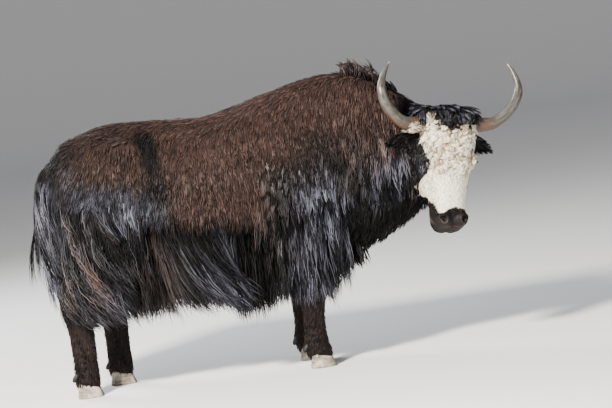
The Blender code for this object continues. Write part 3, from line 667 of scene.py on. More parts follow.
def hill(points, centre, radii):
    """1 at a centre, falling to 0 at the radii."""
    d = np.sqrt((((points - np.array(centre)) / np.array(radii)) ** 2).sum(axis=-1))
    return smooth(d, 1.0, 0.0)


def wobble(points, scale, seed=0):
    """Smooth noise from -1 to 1, from a few crossed waves."""
    rng = np.random.default_rng(seed)
    total = np.zeros(len(points))
    for _ in range(6):
        way = rng.normal(size=3)
        way /= np.linalg.norm(way)
        total += np.sin(points @ way * scale * rng.uniform(0.6, 1.7) + rng.uniform(0, 6.28))
    return total / 3.2


def line_at(x, table):
    return np.interp(x, [row[0] for row in table], [row[1] for row in table])


# Where things are on the body


def ear_share(points):
    """1 on the ears, 0 elsewhere."""
    h = to_head(points)
    share = np.zeros(len(h))
    for side, word in ((-1, "right"), (1, "left")):
        root, tip = EAR_ROOT * (1, side, 1), np.array(EAR_TIP[word]) * (1, side, 1)
        t = np.clip((h - root) @ (tip - root) / ((tip - root) @ (tip - root)), 0.2, 1)
        away = np.linalg.norm(h - root - t[:, None] * (tip - root), axis=1)
        share = np.maximum(share, smooth(away, 0.052, 0.046) * smooth(h[:, 1] * side, 0.128, 0.146))
    return share


def head_share(points):
    """1 on the head, 0 behind its cut from the neck."""
    return np.maximum(smooth((points - HEAD_CUT_AT) @ HEAD_CUT_NORMAL, -0.012, 0.012), ear_share(points))


def eye_gap(points, inner, outer):
    """0 within a distance of either eye, 1 beyond another."""
    h = to_head(points)
    gap = np.ones(len(h))
    for side in (-1, 1):
        away = np.linalg.norm((h - EYE_FRONT * (1, side, 1)) * (1, 1, 1.25), axis=1)
        gap = np.minimum(gap, smooth(away, inner, outer))
    return gap


def body_marks(points):
    """Brown and grey shares of the body: a red-brown back and ribs, a black patch before the hip, grey painted sheen.
    """
    x, y, z = points.T
    n = wobble(points, 30, 1)
    flat = points[:, [0, 2]] + 0.018 * n[:, None]
    back = smooth(z + 0.02 * n, 0.88, 1.02) * smooth(x, -1.12, -1.03) * (1 - 0.45 * smooth(x, -0.68, -0.80))
    ribs = smooth(z + 0.02 * n, 0.69, 0.82) * smooth(x, -0.67, -0.48) * smooth(x, -0.07, -0.22)
    haunch = 0.80 * np.minimum(1, 1.7 * hill(flat, (-0.870, 1.06), (0.17, 0.15)))
    brown = np.maximum(np.maximum(back * smooth(x, 0.60, 0.44), ribs), haunch)
    patch = np.minimum(1, 1.6 * hill(flat, (-0.655, 1.100), (0.105, 0.150)))
    gully = 0.85 * hill(flat, (-0.640, 0.96), (0.075, 0.26))
    ridge = 0.9 * hill(flat, (-1.07, 1.13), (0.17, 0.15))
    poll = 0.75 * smooth(x + 0.02 * n, 0.42, 0.56) * smooth(z, 1.02, 1.14)
    shade = smooth(z, 0.88, 0.68)
    shoulder = 0.75 * hill(flat, (0.12, 0.98), (0.30, 0.26))
    # Painted shade: the narrow fold between the neck and the shoulder is left black, with no brown or sheen.
    crease_shade = 0.75 * hill(flat, (0.29, 0.93), (0.045, 0.22))
    brown = brown * (1 - patch) * (1 - gully) * (1 - ridge) * (1 - poll) * (1 - 0.4 * shade) * (1 - shoulder)
    brown = brown * (1 - crease_shade)
    brown = np.maximum(brown, (0.24 + 0.10 * wobble(points, 40, 14)) * smooth(z, 0.44, 0.34))
    # The grey share is painted sheen: a diagonal band over the haunch and soft spots on the arms, neck, skirt, rump and
    # thighs.
    line = z - (0.950 - 0.42 * (x + 0.95))
    band = smooth(np.abs(line + 0.02 * n), 0.095, 0.03) * smooth(x, -1.10, -1.02) * smooth(x, -0.54, -0.72)
    sheen_spots = (
        ((0.10, 0.76), (0.21, 0.22), 1.05), ((0.02, 0.50), (0.24, 0.26), 1.1), ((0.42, 0.88), (0.18, 0.24), 1.3),
        ((-0.45, 0.60), (0.24, 0.17), 1.0), ((-1.17, 0.86), (0.15, 0.26), 1.4), ((-0.95, 0.60), (0.20, 0.26), 0.4),
    )
    grey = 0.85 * band
    for centre, radii, most in sheen_spots:
        grey = np.maximum(grey, most * hill(flat, centre, radii))
    grey = np.clip(grey, 0, 1) * smooth(np.abs(y), 0.03, 0.12) * (1 - 0.85 * brown)
    under = smooth(z, 0.62, 0.52) * (np.abs(y) < 0.10)
    return brown, grey * (1 - under) * (1 - crease_shade)


def face_white(points, h):
    """White share of the head: the face between its edges, with ragged borders, and tufts at the horns."""
    hx, hy, hz = h.T
    rag = 0.005 * wobble(points, 75, 2) + 0.004 * wobble(points, 150, 4)
    white = smooth(hx + rag, line_at(hz, WHITE_RIGHT) - 0.005, line_at(hz, WHITE_RIGHT) + 0.005)
    left = smooth(hx + rag, line_at(hz, WHITE_LEFT) - 0.005, line_at(hz, WHITE_LEFT) + 0.005)
    white = np.where(hy < 0, white, left)
    cheek = smooth(hz, -0.255, -0.235) * smooth(hz, -0.125, -0.140) * smooth(hy, -0.09, -0.10)
    white *= 1 - cheek * smooth(hy + rag, -0.100, -0.108)
    white *= smooth(hz + 1.5 * rag, line_at(hy, WHITE_TOP) + 0.004, line_at(hy, WHITE_TOP) - 0.004)
    white *= smooth(hz + rag, line_at(hy, WHITE_FOOT) - 0.003, line_at(hy, WHITE_FOOT) + 0.003)
    tufts = 1.5 * hill(h, (-0.015, -0.130, -0.028), (0.045, 0.040, 0.030))
    return np.clip(np.maximum(white, tufts), 0, 1) * (1 - ear_share(points)) * eye_gap(points, 0.016, 0.022)


def markings(points):
    """White, brown, grey and bare shares at points of the skin, in stations; the grey share is painted sheen."""
    h = to_head(points)
    hx, _, hz = h.T
    on_head = head_share(points)
    brown, grey = body_marks(points)
    white = face_white(points, h) * on_head
    bare = smooth(hz, -0.425, -0.450) * smooth(hx, -0.06, -0.01) * on_head
    bare = np.maximum(bare, on_head * (1 - eye_gap(points, 0.020, 0.027)))
    # On the head the grey share is painted sheen on the right cheek behind the eye.
    cheek = 0.5 * hill(h, (-0.06, -0.105, -0.20), (0.08, 0.05, 0.12)) * (1 - white)
    jaw = 0.25 * smooth(hz, -0.33, -0.41) * smooth(hx, 0.0, -0.07)
    grey = np.where(on_head > 0.5, cheek, grey)
    brown = np.where(on_head > 0.5, jaw, brown)
    return np.clip(np.stack([white, brown, grey, bare], axis=1), 0, 1)


def rims(points):
    """1 on the pink rims of the lips and the lower nostrils."""
    h = to_head(points)
    line = smooth_rows(MOUTH_LINE, 4)
    line = np.vstack([line, line * (1, -1, 1)])
    near = np.full(len(h), 1.0)
    for p in line:
        near = np.minimum(near, np.linalg.norm((h - p) * (1, 1, 1.2), axis=1))
    lip = smooth(near, 0.012, 0.004)
    for side in (-1, 1):
        d = np.linalg.norm((h - NOSTRIL_AT * (1, side, 1)) / (0.024, 0.018, 0.021), axis=1)
        lip = np.maximum(lip, smooth(np.abs(d - 0.95), 0.25, 0.0) * smooth(h[:, 2], -0.450, -0.468) * 0.45)
    return lip * (0.55 + 0.45 * wobble(points, 90, 3)) * head_share(points) * (h[:, 2] < -0.40)


def store(item, name, values, kind="FLOAT_COLOR"):
    attribute = item.data.attributes.new(name, kind, "POINT")
    field = {"FLOAT_COLOR": "color", "FLOAT_VECTOR": "vector", "FLOAT": "value"}[kind]
    attribute.data.foreach_set(field, np.asarray(values, np.float32).ravel())


def finished(item, material, nodes):
    """Moves a finished mesh to the origin's frame, gives it its material, and lets it stand for its nodes."""
    points, _, _ = arrays(item)
    set_points(item, points + ORIGIN)
    item.data.materials.clear()
    item.data.materials.append(material)
    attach(item, "root")
    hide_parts(*nodes)
    return item


# Skin


def coat_depth(points):
    """How far the skin lies under the solids: by the short coat on the back, and hardly at all under locks."""
    x, y, z = points.T
    shelf = line_at(x, SHELF)
    back = 0.014 * smooth(z, shelf - 0.02, shelf + 0.10) * smooth(x, -1.10, -0.92)
    under = smooth(x, -0.80, -0.68) * smooth(x, -0.10, -0.20) * smooth(z, shelf + 0.02, shelf - 0.035)
    arms = 0.014 * smooth(x, -0.22, -0.10) * smooth(x, 0.30, 0.18) * smooth(z, 0.60, 0.70)
    depth = np.maximum.reduce([back, 0.030 * under, arms, np.full(len(points), 0.004)])
    depth = np.where(z < 0.33, 0.003, depth)
    return depth * (1 - head_share(points)) * smooth(z, 0.08, 0.11) + 0.002 * head_share(points) * (1 - ear_share(points))


def open_sockets(points):
    """The head's surface pressed in behind the opening of each eye."""
    h = to_head(points)
    for side in (-1, 1):
        gaze = np.array([math.cos(EYE_TURN), side * math.sin(EYE_TURN), 0.0])
        away = h - EYE_AT * (1, side, 1)
        across = away @ np.array([-gaze[1], gaze[0], 0.0])
        opening = np.hypot(across / SOCKET[0], away[:, 2] / SOCKET[1])
        press = SOCKET_DEPTH * smooth(opening, 1.15, 0.80) * smooth(away @ gaze, 0.0, 0.006)
        h = h - press[:, None] * gaze
    return from_head(h)


def head_forms(points, normals):
    """Height of the folds of the head over its skin, in metres."""
    h = to_head(points)
    height = np.zeros(len(h))
    for side in (-1, 1):
        nostril = NOSTRIL_AT * (1, side, 1)
        d = np.linalg.norm((h - nostril) / (0.022, 0.0125, 0.0165), axis=1)
        tail = np.linalg.norm((h - nostril - (-0.014, 0.012 * side, 0.006)) / (0.022, 0.010, 0.010), axis=1)
        d = np.minimum(d, tail)
        height -= 0.016 * smooth(d, 1.0, 0.55)
        height += 0.0035 * smooth(np.abs(d - 1.25), 0.45, 0.0)
        eye = EYE_AT * (1, side, 1) + (0.010, 0.010 * side, 0)
        e = (h - eye) / (1.0, 1.0, 0.72)
        r = np.linalg.norm(e, axis=1)
        folds = np.sin((r - 0.022) * 620) * smooth(r, 0.020, 0.026) * smooth(r, 0.050, 0.030)
        height += 0.0011 * folds
        height += 0.004 * hill(h, eye + (0.004, -0.004 * side, 0.030), (0.040, 0.030, 0.016))
        height -= 0.003 * hill(h, eye + (0.022, -0.010 * side, -0.030), (0.020, 0.020, 0.040))
    line = smooth_rows(MOUTH_LINE, 4)
    line = np.vstack([line, line * (1, -1, 1)])
    near = np.full(len(h), 1.0)
    for p in line:
        near = np.minimum(near, np.linalg.norm(h - p, axis=1))
    mouth = h[:, 2] < -0.38
    height -= 0.0055 * smooth(near, 0.0065, 0.0015) * mouth
    height += 0.0022 * smooth(np.abs(near - 0.0095), 0.006, 0.0) * mouth
    nose = smooth(h[:, 2], -0.435, -0.455) * smooth(h[:, 0], -0.01, 0.02)
    height -= 0.0030 * smooth(np.abs(h[:, 1]), 0.006, 0.0) * nose
    height += 0.0010 * wobble(points, 260, 5) * nose
    jaw = smooth(h[:, 2], -0.30, -0.38) * smooth(h[:, 0], 0.02, -0.04)
    height += 0.0012 * wobble(points, 110, 6) * jaw
    return height * head_share(points)


def body_forms(points):
    """Height of the wrinkles of the lower legs, in metres."""
    z = points[:, 2]
    legs = smooth(z, 0.30, 0.22) * smooth(z, 0.07, 0.09)
    ripple = np.sin(z * 330 + 1.6 * wobble(points, 35, 7)) * (0.5 + 0.5 * wobble(points, 20, 8))
    return 0.0022 * ripple * legs


def make_skin():
    settings = body_settings()
    shapes = [trunk()] + [limb(leg) for leg in FOOT_X]
    for centre, radii in MUSCLES:
        shapes += both_sides(centre, radii)
    dock = smooth_rows(TAIL_PATH, 4)
    shapes.append(tube(dock[:, :3], dock[:, 3], 12))
    body = remeshed("skin", shapes, settings.body_voxel, 7)
    points, normals, _ = arrays(body)
    set_points(body, points + normals * (body_forms(points) - coat_depth(points))[:, None])
    head = remeshed("head", head_shape() + [trunk(0.50, 0.93)], settings.head_voxel, 5)
    set_points(head, open_sockets(arrays(head)[0]))
    extra = remeshed("extra", [ear_shape("left"), ear_shape("right"), lid_shape(-1), lid_shape(1)], 0.0025, 2)
    join_by_boolean(head, extra)
    points, normals, _ = arrays(head)
    set_points(head, points + normals * (head_forms(points, normals) - coat_depth(points))[:, None])
    join_by_boolean(body, head)
    body.data.shade_smooth()
    return body


def join_by_boolean(item, other):
    tool = item.modifiers.new("union", "BOOLEAN")
    tool.operation = "UNION"
    tool.solver = "MANIFOLD"
    tool.object = other
    baked(item)
    bpy.data.objects.remove(other)
    return item


def hair_material(name, roughness, shine, strands_too=True):
    """Hair, and the skin under it: one set of markings for both, with painted shade at the roots and painted grey
    sheen.
    """
    coat, body = coat_settings(), body_settings()
    shade = Shade(name, Specular_IOR_Level=0.12, Coat_Roughness=0.36)
    white, brown, grey = shade.parts("marks")
    bare = shade.attribute("marks", "Alpha")
    along, tone, warm = shade.parts("strand")
    patchy = shade.noise(shade.place(), 7.0, 4.0)
    fine = shade.noise(shade.place((1, 1, 0.25)), 60.0, 3.0)
    base = shade.mix(brown * (0.75 + 0.5 * patchy), coat.black, coat.brown)
    # Painted sheen: grey-blue reflected sky light, mixed in by the grey share and the strand's tone.
    base = shade.mix(grey * (tone * 1.25 - 0.10 + 0.35 * patchy), base, coat.grey)
    base = shade.mix(warm * 0.9, base, coat.tan)
    fibres = shade.node("ShaderNodeMapping", {}, shade.attribute("fibre"), Scale=(1500, 60, 1))
    fibres = shade.noise(fibres, 1.0, 2.0)
    # Painted shade in the depth of the coat: each strand darkens towards its root; tone and fibres vary at random.
    light = (0.06 + 2.3 * tone**1.5) * (0.35 + 0.85 * along) * (0.70 + 0.60 * fibres)
    base = shade.mix(1.0, base, shade.grey(light), "MULTIPLY")
    # Painted golden shade between the face's locks: cream at the roots and in lower-toned strands, and darker roots
    # through lit.
    gold = (1.02 - 1.3 * along + 0.35 * fine + 0.9 * (0.5 - tone)).step(0.0, 1.0)
    cream = shade.mix(gold, coat.white, coat.cream)
    lit = (0.66 + 0.50 * tone) * (0.66 + 0.36 * along) * (0.86 + 0.28 * fibres)
    cream = shade.mix(1.0, cream, shade.grey(lit.math("MINIMUM", lit, 1.04)), "MULTIPLY")
    base = shade.mix(white, base, cream)
    skin = shade.mix(shade.noise(shade.place(), 70.0).step(0.45, 0.70), body.skin, (0.016, 0.012, 0.011))
    base = shade.mix(bare, base, skin)
    rough = roughness - 0.14 * bare + 0.15 * white + 0.35 * along.step(0.30, 0.0) * (1 - bare)
    gloss = shine * tone.step(0.28, 0.90) * along.step(0.08, 0.50) * (1 - bare) * (1 - 0.8 * white)
    shade.finish(Base_Color=base, Roughness=rough, Coat_Weight=gloss)
    if strands_too:
        shade.finish(Normal=shade.bump(fibres, 0.0009, 0.8))
    return shade, base


def skin_material():
    shade, base = hair_material("skin_and_short_hair", 0.60, 0.0, strands_too=False)
    rim = shade.attribute("rim", "Fac")
    base = shade.mix(rim, base, body_settings().lip)
    fur = shade.noise(shade.place((150, 150, 26)), 1.0, 4.0, 0.6)
    pores = shade.node("ShaderNodeTexVoronoi", {}, Vector=shade.place(), Scale=620.0)
    bare = shade.attribute("marks", "Alpha")
    height = fur * (1 - bare) + pores * bare * 0.22
    return shade.finish(Base_Color=base, Normal=shade.bump(height, 0.004, 0.6))


# Coat


def roots_on(skin, weight, count, rng):
    """Seeded points spread over the skin by a weight at its corners: places and normals."""
    points, normals, triangles = skin
    corners = points[triangles]
    area = 0.5 * np.linalg.norm(np.cross(corners[:, 1] - corners[:, 0], corners[:, 2] - corners[:, 0]), axis=1)
    share = area * weight[triangles].mean(axis=1)
    picks = np.searchsorted(np.cumsum(share) / share.sum(), rng.random(count))
    picks = np.clip(picks, 0, len(triangles) - 1)
    a, b = rng.random((2, count))
    flip = a + b > 1
    a, b = np.where(flip, 1 - a, a), np.where(flip, 1 - b, b)
    bary = np.stack([1 - a - b, a, b], axis=1)[:, :, None]
    at = (points[triangles[picks]] * bary).sum(axis=1)
    out = (normals[triangles[picks]] * bary).sum(axis=1)
    return at, out / np.linalg.norm(out, axis=1, keepdims=True)


GUIDE_STEPS = 9
LIFT_FULL = 0.20


def guide_curves(tree, roots, normals, first, last, lengths, lift, cling, spin=None):
    """Centre lines of clumps: each leaves the skin at its root, turns from its first lie to its last and stays
    outside the skin by a height that grows to lift, and no further from it than cling."""
    count = len(roots)
    places = np.empty((count, GUIDE_STEPS, 3))
    facing = np.empty((count, GUIDE_STEPS, 3))
    steps = np.linspace(0, 1, GUIDE_STEPS)
    for i in range(count):
        at = Vector(roots[i])
        n0, a, b = Vector(normals[i]), Vector(first[i]), Vector(last[i])
        out = n0
        places[i, 0], facing[i, 0] = at, n0
        for k in range(1, GUIDE_STEPS):
            t = steps[k]
            way = (a * (1 - t) + b * t).normalized()
            if spin is not None:
                way.rotate(Matrix.Rotation(spin[i] * t, 3, out))
            at = at + way * (lengths[i] / (GUIDE_STEPS - 1))
            near, normal, _, distance = tree.find_nearest(at)
            if normal.dot(out) < 0.3 or distance > 0.15:
                places[i, k] = at
                facing[i, k] = (n0 * (1 - t) + out * t).normalized()
                continue
            out = normal
            depth = (at - near).dot(out)
            low = lift[i] * t**1.4
            if depth < low:
                at = at + out * (low - depth)
            elif depth > cling:
                at = near + out * cling
            places[i, k] = at
            facing[i, k] = (n0 * (1 - t) + out * t).normalized()
    return places, facing


def unit(v):
    return v / np.maximum(np.linalg.norm(v, axis=-1, keepdims=True), 1e-9)


SECTION = np.array([(1.0, -0.15), (0.0, 0.50), (-1.0, -0.15)])
LONG_RINGS = ((0.0, 0.40), (0.20, 1.0), (0.42, 1.0), (0.64, 0.85), (0.84, 0.55))
WAVY_RINGS = ((0.0, 0.6), (0.28, 1.0), (0.56, 0.95), (0.80, 0.65))
SHORT_RINGS = ((0.0, 0.6), (0.35, 1.0), (0.70, 0.75))
TINY_RINGS = ((0.0, 0.8), (0.5, 0.9))


def strands(guides, facing, owner, roots, normals, rings, share, width, pinch, wave, fuzz, length, region_depth, rng):
    """Closed three-sided strands that follow their clump's centre line and draw together towards its tip."""
    count = len(roots)
    stations = np.array([row[0] for row in rings] + [1.0])
    swell = np.array([row[1] for row in rings])
    t = stations[None, :] * share[:, None]
    place = t * (GUIDE_STEPS - 1)
    low = np.clip(place.astype(int), 0, GUIDE_STEPS - 2)
    part = (place - low)[..., None]
    line = guides[owner[:, None], low] * (1 - part) + guides[owner[:, None], low + 1] * part
    out = unit(facing[owner[:, None], low] * (1 - part) + facing[owner[:, None], low + 1] * part)
    offset = roots - guides[owner, 0]
    line = line + offset[:, None, :] * (1 - pinch * t**0.8)[..., None]
    way = unit(np.gradient(line, axis=1))
    across = unit(np.cross(way, out))
    phase = rng.random((count, 1)) * 2 * math.pi
    turns = rng.uniform(0.7, 1.6, (count, 1)) * 2 * math.pi
    sway = (np.sin(turns * t + phase) - np.sin(phase)) * wave * length[:, None]
    line = line + across * sway[..., None]
    stray = np.clip(rng.normal(size=(count, 1, 3)), -1.8, 1.8) * (fuzz * length)[:, None, None] * (t**1.5)[..., None]
    line = line + stray
    line[:, 0] -= normals * region_depth
    way = unit(np.gradient(line, axis=1))
    across = unit(np.cross(way, out))
    over = unit(np.cross(across, way))
    wide = (width[:, None] * swell[None, :] / 2)[..., None, None]
    frames = across[:, :-1, None, :] * SECTION[:, 0, None] + over[:, :-1, None, :] * SECTION[:, 1, None]
    body = line[:, :-1, None, :] + frames * wide
    sides, n = 3, len(rings)
    points = np.concatenate([body.reshape(count, n * sides, 3), line[:, -1:, :]], axis=1)
    each = n * sides + 1
    triangles = []
    for i in range(n - 1):
        for j in range(sides):
            k = (j + 1) % sides
            a, b = i * sides, (i + 1) * sides
            triangles += [(a + j, a + k, b + k), (a + j, b + k, b + j)]
    triangles += [((n - 1) * sides + j, (n - 1) * sides + (j + 1) % sides, n * sides) for j in range(sides)]
    triangles.append((2, 1, 0))
    triangles = np.array(triangles)
    if volume(points[0], triangles) < 0:
        triangles = triangles[:, ::-1]
    along = np.repeat(stations[:-1], sides)
    along = np.append(along, 1.0)
    whole = (triangles[None] + (np.arange(count) * each)[:, None, None]).reshape(-1, 3)
    return points.reshape(-1, 3), whole, along, each


def unwrap(roots, centre, axis):
    """A place from 0 to 1 for each root on the skin's own shape: along an axis and round it."""
    axis = np.array(axis, float) / np.linalg.norm(axis)
    side = np.cross(axis, (0, 0, 1) if abs(axis[2]) < 0.8 else (1, 0, 0))
    side /= np.linalg.norm(side)
    up = np.cross(side, axis)
    p = roots - np.array(centre)
    far = p @ axis
    turn = np.arctan2(p @ up, p @ side) / (2 * math.pi) + 0.5
    u = (far - far.min()) / max(np.ptp(far), 1e-6)
    return np.stack([0.01 + 0.97 * u, 0.01 + 0.97 * turn], axis=1)


def sharpen_roots(item, each):
    """Keeps the flat root of each strand out of the shading of its sides."""
    mesh = item.data
    ends = np.empty(len(mesh.edges) * 2, np.int32)
    mesh.edges.foreach_get("vertices", ends)
    at_root = (ends.reshape(-1, 2) % each < 3).all(axis=1)
    mesh.attributes.new("sharp_edge", "BOOLEAN", "EDGE").data.foreach_set("value", at_root)


def grow(name, region, material, rng):
    """One piece of the coat from the settings of its region."""
    skin, tree = SKIN["arrays"], SKIN["tree"]
    weight = np.clip(region["where"](skin[0], skin[1]), 0, 1)
    count = max(20, int(region["count"] * coat_settings().strands / 100 * (1.0)))
    clumps = max(8, int(region["clumps"]))
    heads, out = roots_on(skin, weight, clumps, rng)
    length = region["length"](heads) * rng.uniform(0.86, 1.12, clumps)
    first, last = region["lie"](heads, out, rng)
    lift = region["lift"] * np.clip(length / LIFT_FULL, 0.3, 1) * rng.uniform(0.6, 1.3, clumps)
    spin = region["spin"](heads, rng) if "spin" in region else None
    guides, facing = guide_curves(tree, heads, out, first, last, length, lift, region.get("cling", 1.0), spin)
    roots, normals = roots_on(skin, weight, count, rng)
    finder = kdtree.KDTree(clumps)
    for i, p in enumerate(heads):
        finder.insert(p, i)
    finder.balance()
    owner = np.array([finder.find(p)[1] for p in roots])
    share = rng.uniform(region.get("shortest", 0.72), 1.0, count)
    width = region["width"] * rng.uniform(0.7, 1.25, count)
    points, triangles, along, each = strands(
        guides, facing, owner, roots, normals, region["rings"], share, width, region["pinch"],
        region["wave"], region["fuzz"], length[owner], region.get("sunk", 0.006), rng,
    )
    item = fast_mesh(name, points, triangles)
    sharpen_roots(item, each)
    marks = markings(roots)
    # Each region may change its marks here: real colour, and on the forelock and the tail painted grey sheen.
    if "recolour_and_sheen" in region:
        marks = region["recolour_and_sheen"](roots, marks)
    marks[:, 3] = 0
    clump, single = region.get("tones", (0.19, 0.17))
    tone = 0.47 + clump * rng.normal(size=clumps)[owner] + single * rng.normal(size=count)
    tone = tone + region.get("mottle", 0.20) * wobble(roots * (1, 1, 0.22), 150, 12)
    # A region's dim lowers the strands' tone: painted shade on the chest and the front of the skirt, a darker tuft at
    # the horn.
    if "dim" in region:
        tone = tone - region["dim"](roots)
    tone = np.clip(tone, 0, 1)
    warm = region["warm"](roots, tone) if "warm" in region else np.zeros(count)
    store(item, "marks", np.repeat(marks, each, axis=0))
    # A region's pale raises the root end of the grade and so lessens the painted shade at the roots.
    pale = region.get("pale", 0.0)
    grade = pale + (1 - pale) * np.tile(along, count)
    strand = np.stack([grade, np.repeat(tone, each), np.zeros(count * each), np.ones(count * each)], 1)
    strand[:, 2] = strand[:, 0] ** 2 * np.repeat(warm, each)
    store(item, "strand", strand)
    across = np.append(np.tile((1.0, 0.0, -1.0), each // 3), 0.0)
    fibre = np.outer(width / 2, across).ravel()
    run = np.outer(length[owner] * share, along).ravel()
    store(item, "fibre", np.stack([fibre, run, np.repeat(np.arange(count) * 0.37 % 60, each)], 1), "FLOAT_VECTOR")
    patch = np.stack([np.tile(along, count), np.tile(np.arange(each) % 3 / 2, count)], axis=1) * BAKE_PATCH
    corner = np.repeat(unwrap(roots, *region["axis"]), each, axis=0) + patch
    layer = item.data.uv_layers.new(name="OFBake")
    layer.data.foreach_set("uv", corner[triangles.ravel()].astype(np.float32).ravel())
    return finished(item, material, region["nodes"])


SKIN = {}
BODY_AXIS = ((-0.3, 0, 0.85), (1, 0, 0))
TAIL_AXIS = ((-1.17, 0, 0.8), (0, 0, 1))


def lying(way, normals):
    """A way laid in the surface."""
    way = np.broadcast_to(np.asarray(way, float), normals.shape)
    return unit(way - normals * (way * normals).sum(axis=1, keepdims=True))


def swayed(ways, amount, rng):
    return unit(ways + rng.normal(size=ways.shape) * amount)


def above_shelf(points):
    x, y, z = points.T
    shelf = line_at(x, SHELF)
    return smooth(z, shelf - 0.01, shelf + 0.015)


def on_tail(points):
    x, y, z = points.T
    return smooth(x, -1.12, -1.145) * smooth(np.abs(y), 0.08, 0.06) * smooth(z, 1.06, 1.03)


def side_of(points, side):
    return (points[:, 1] * side > 0).astype(float)


def back_region(side):
    def where(points, normals):
        x, y, z = points.T
        arms = smooth(x, -0.20, -0.08) * smooth(x, 0.34, 0.22)
        low = np.where(x < -0.72, smooth(z, 0.80, 0.90), above_shelf(points))
        low = low * (1 - arms) + arms * smooth(z, 0.86, 0.98)
        neck = smooth(x, 0.40, 0.26) + smooth(x, 0.26, 0.40) * smooth(z, 1.04, 1.12)
        return low * neck * side_of(points, side) * (1 - head_share(points)) * (1 - on_tail(points))

    def length(p):
        shelf = line_at(p[:, 0], SHELF)
        return 0.058 + 0.030 * smooth(p[:, 2], 1.1, shelf) + 0.02 * smooth(p[:, 0], 0.15, 0.45)

    def lie(p, n, rng):
        x, y, z = p.T
        rear = np.interp(x, [-1.15, -0.95, -0.72, -0.60, 0.1, 0.5], [-0.5, -0.45, -0.15, 0.05, -0.05, -0.25])
        rear = rear - 0.55 * smooth(n[:, 2], 0.55, 0.95)
        way = np.stack([rear, np.zeros(len(p)), -np.ones(len(p))], axis=1)
        way = lying(way, n)
        way[:, 0] += 0.16 * wobble(p, 26, 13)
        return swayed(way, 0.09, rng), swayed(way, 0.13, rng)

    return {
        "where": where, "length": length, "lie": lie, "count": 10800, "clumps": 2600, "lift": 0.018,
        "rings": SHORT_RINGS, "width": coat_settings().short_width, "pinch": 0.50, "wave": 0.035, "fuzz": 0.03,
        "tones": (0.08, 0.08), "mottle": 0.10,
        "axis": BODY_AXIS, "nodes": ["torso", "neck"],
    }


def skirt_region(side):
    def where(points, normals):
        x, y, z = points.T
        shelf = line_at(x, SHELF)
        return (
            smooth(z, shelf - 0.010, shelf - 0.045) * smooth(x, -0.80, -0.74) * smooth(x, -0.14, -0.20)
            * side_of(points, side) * (0.35 + 0.65 * smooth(z, 0.47, 0.55)) * (z > 0.44)
        )

    def length(p):
        drop = p[:, 2] - line_at(p[:, 0], SKIRT_HEM)
        return np.clip(drop * 1.10, 0.10, 0.38)

    def lie(p, n, rng):
        x = p[:, 0]
        t = np.clip((x + 0.74) / 0.54, 0, 1)
        sweep = 1.5 * np.sin(math.pi * np.clip((t - 0.06) / 0.72, 0, 1)) ** 1.3
        first = np.stack([-0.05 + 0.15 * sweep, side * np.full(len(p), 0.06), -np.ones(len(p))], axis=1)
        last = np.stack([0.05 + sweep, side * np.full(len(p), -0.06), -np.ones(len(p))], axis=1)
        return swayed(unit(first), 0.07, rng), swayed(unit(last), 0.10, rng)

    def recolour_and_sheen(p, marks):
        marks[:, 1] = 0.24 * hill(p[:, :1], (-0.70,), (0.10,))
        return marks

    # Painted shade: the front of the skirt, by the arm, is darker.
    def dim(p):
        return 0.60 * smooth(p[:, 0], -0.34, -0.22)

    return {
        "where": where, "length": length, "lie": lie, "recolour_and_sheen": recolour_and_sheen, "dim": dim, "count": 3300, "clumps": 260,
        "lift": 0.022, "sunk": 0.013,
        "rings": LONG_RINGS, "width": coat_settings().long_width, "pinch": 0.60, "wave": 0.020, "fuzz": 0.025,
        "axis": BODY_AXIS, "nodes": ["torso"],
    }


def arm_region(side):
    word = "left" if side > 0 else "right"
    reach = 0.205 if side < 0 else 0.220

    def where(points, normals):
        x, y, z = points.T
        out = smooth(y * side, 0.09, 0.13)
        return (
            smooth(x, -0.23, -0.15) * smooth(x, reach, reach - 0.07) * smooth(z, 1.00, 0.88) * smooth(z, 0.42, 0.50) * out
        )

    def length(p):
        drop = np.clip(p[:, 2] - line_at(p[:, 0], ARM_HEM), 0.05, 1)
        return np.minimum(drop * 1.04, np.interp(p[:, 2], [0.52, 0.62, 0.70, 0.80, 0.95], [0.36, 0.30, 0.15, 0.095, 0.065]))

    def lie(p, n, rng):
        x = p[:, 0]
        fan = np.interp(x, [-0.2, 0.0, 0.10, 0.2], [-0.16, 0.0, 0.03, -0.12])
        first = np.stack([fan * 0.3, side * np.full(len(p), 0.10), -np.ones(len(p))], axis=1)
        last = np.stack([fan + 0.02, side * np.full(len(p), 0.00), -np.ones(len(p))], axis=1)
        return swayed(unit(first), 0.07, rng), swayed(unit(last), 0.10, rng)

    return {
        "where": where, "length": length, "lie": lie, "count": 3200, "clumps": 280, "lift": 0.022, "sunk": 0.013,
        "rings": LONG_RINGS, "width": coat_settings().long_width, "pinch": 0.60, "wave": 0.025, "fuzz": 0.03,
        "axis": BODY_AXIS, "nodes": [f"fore_{word}_upper", "torso"],
    }


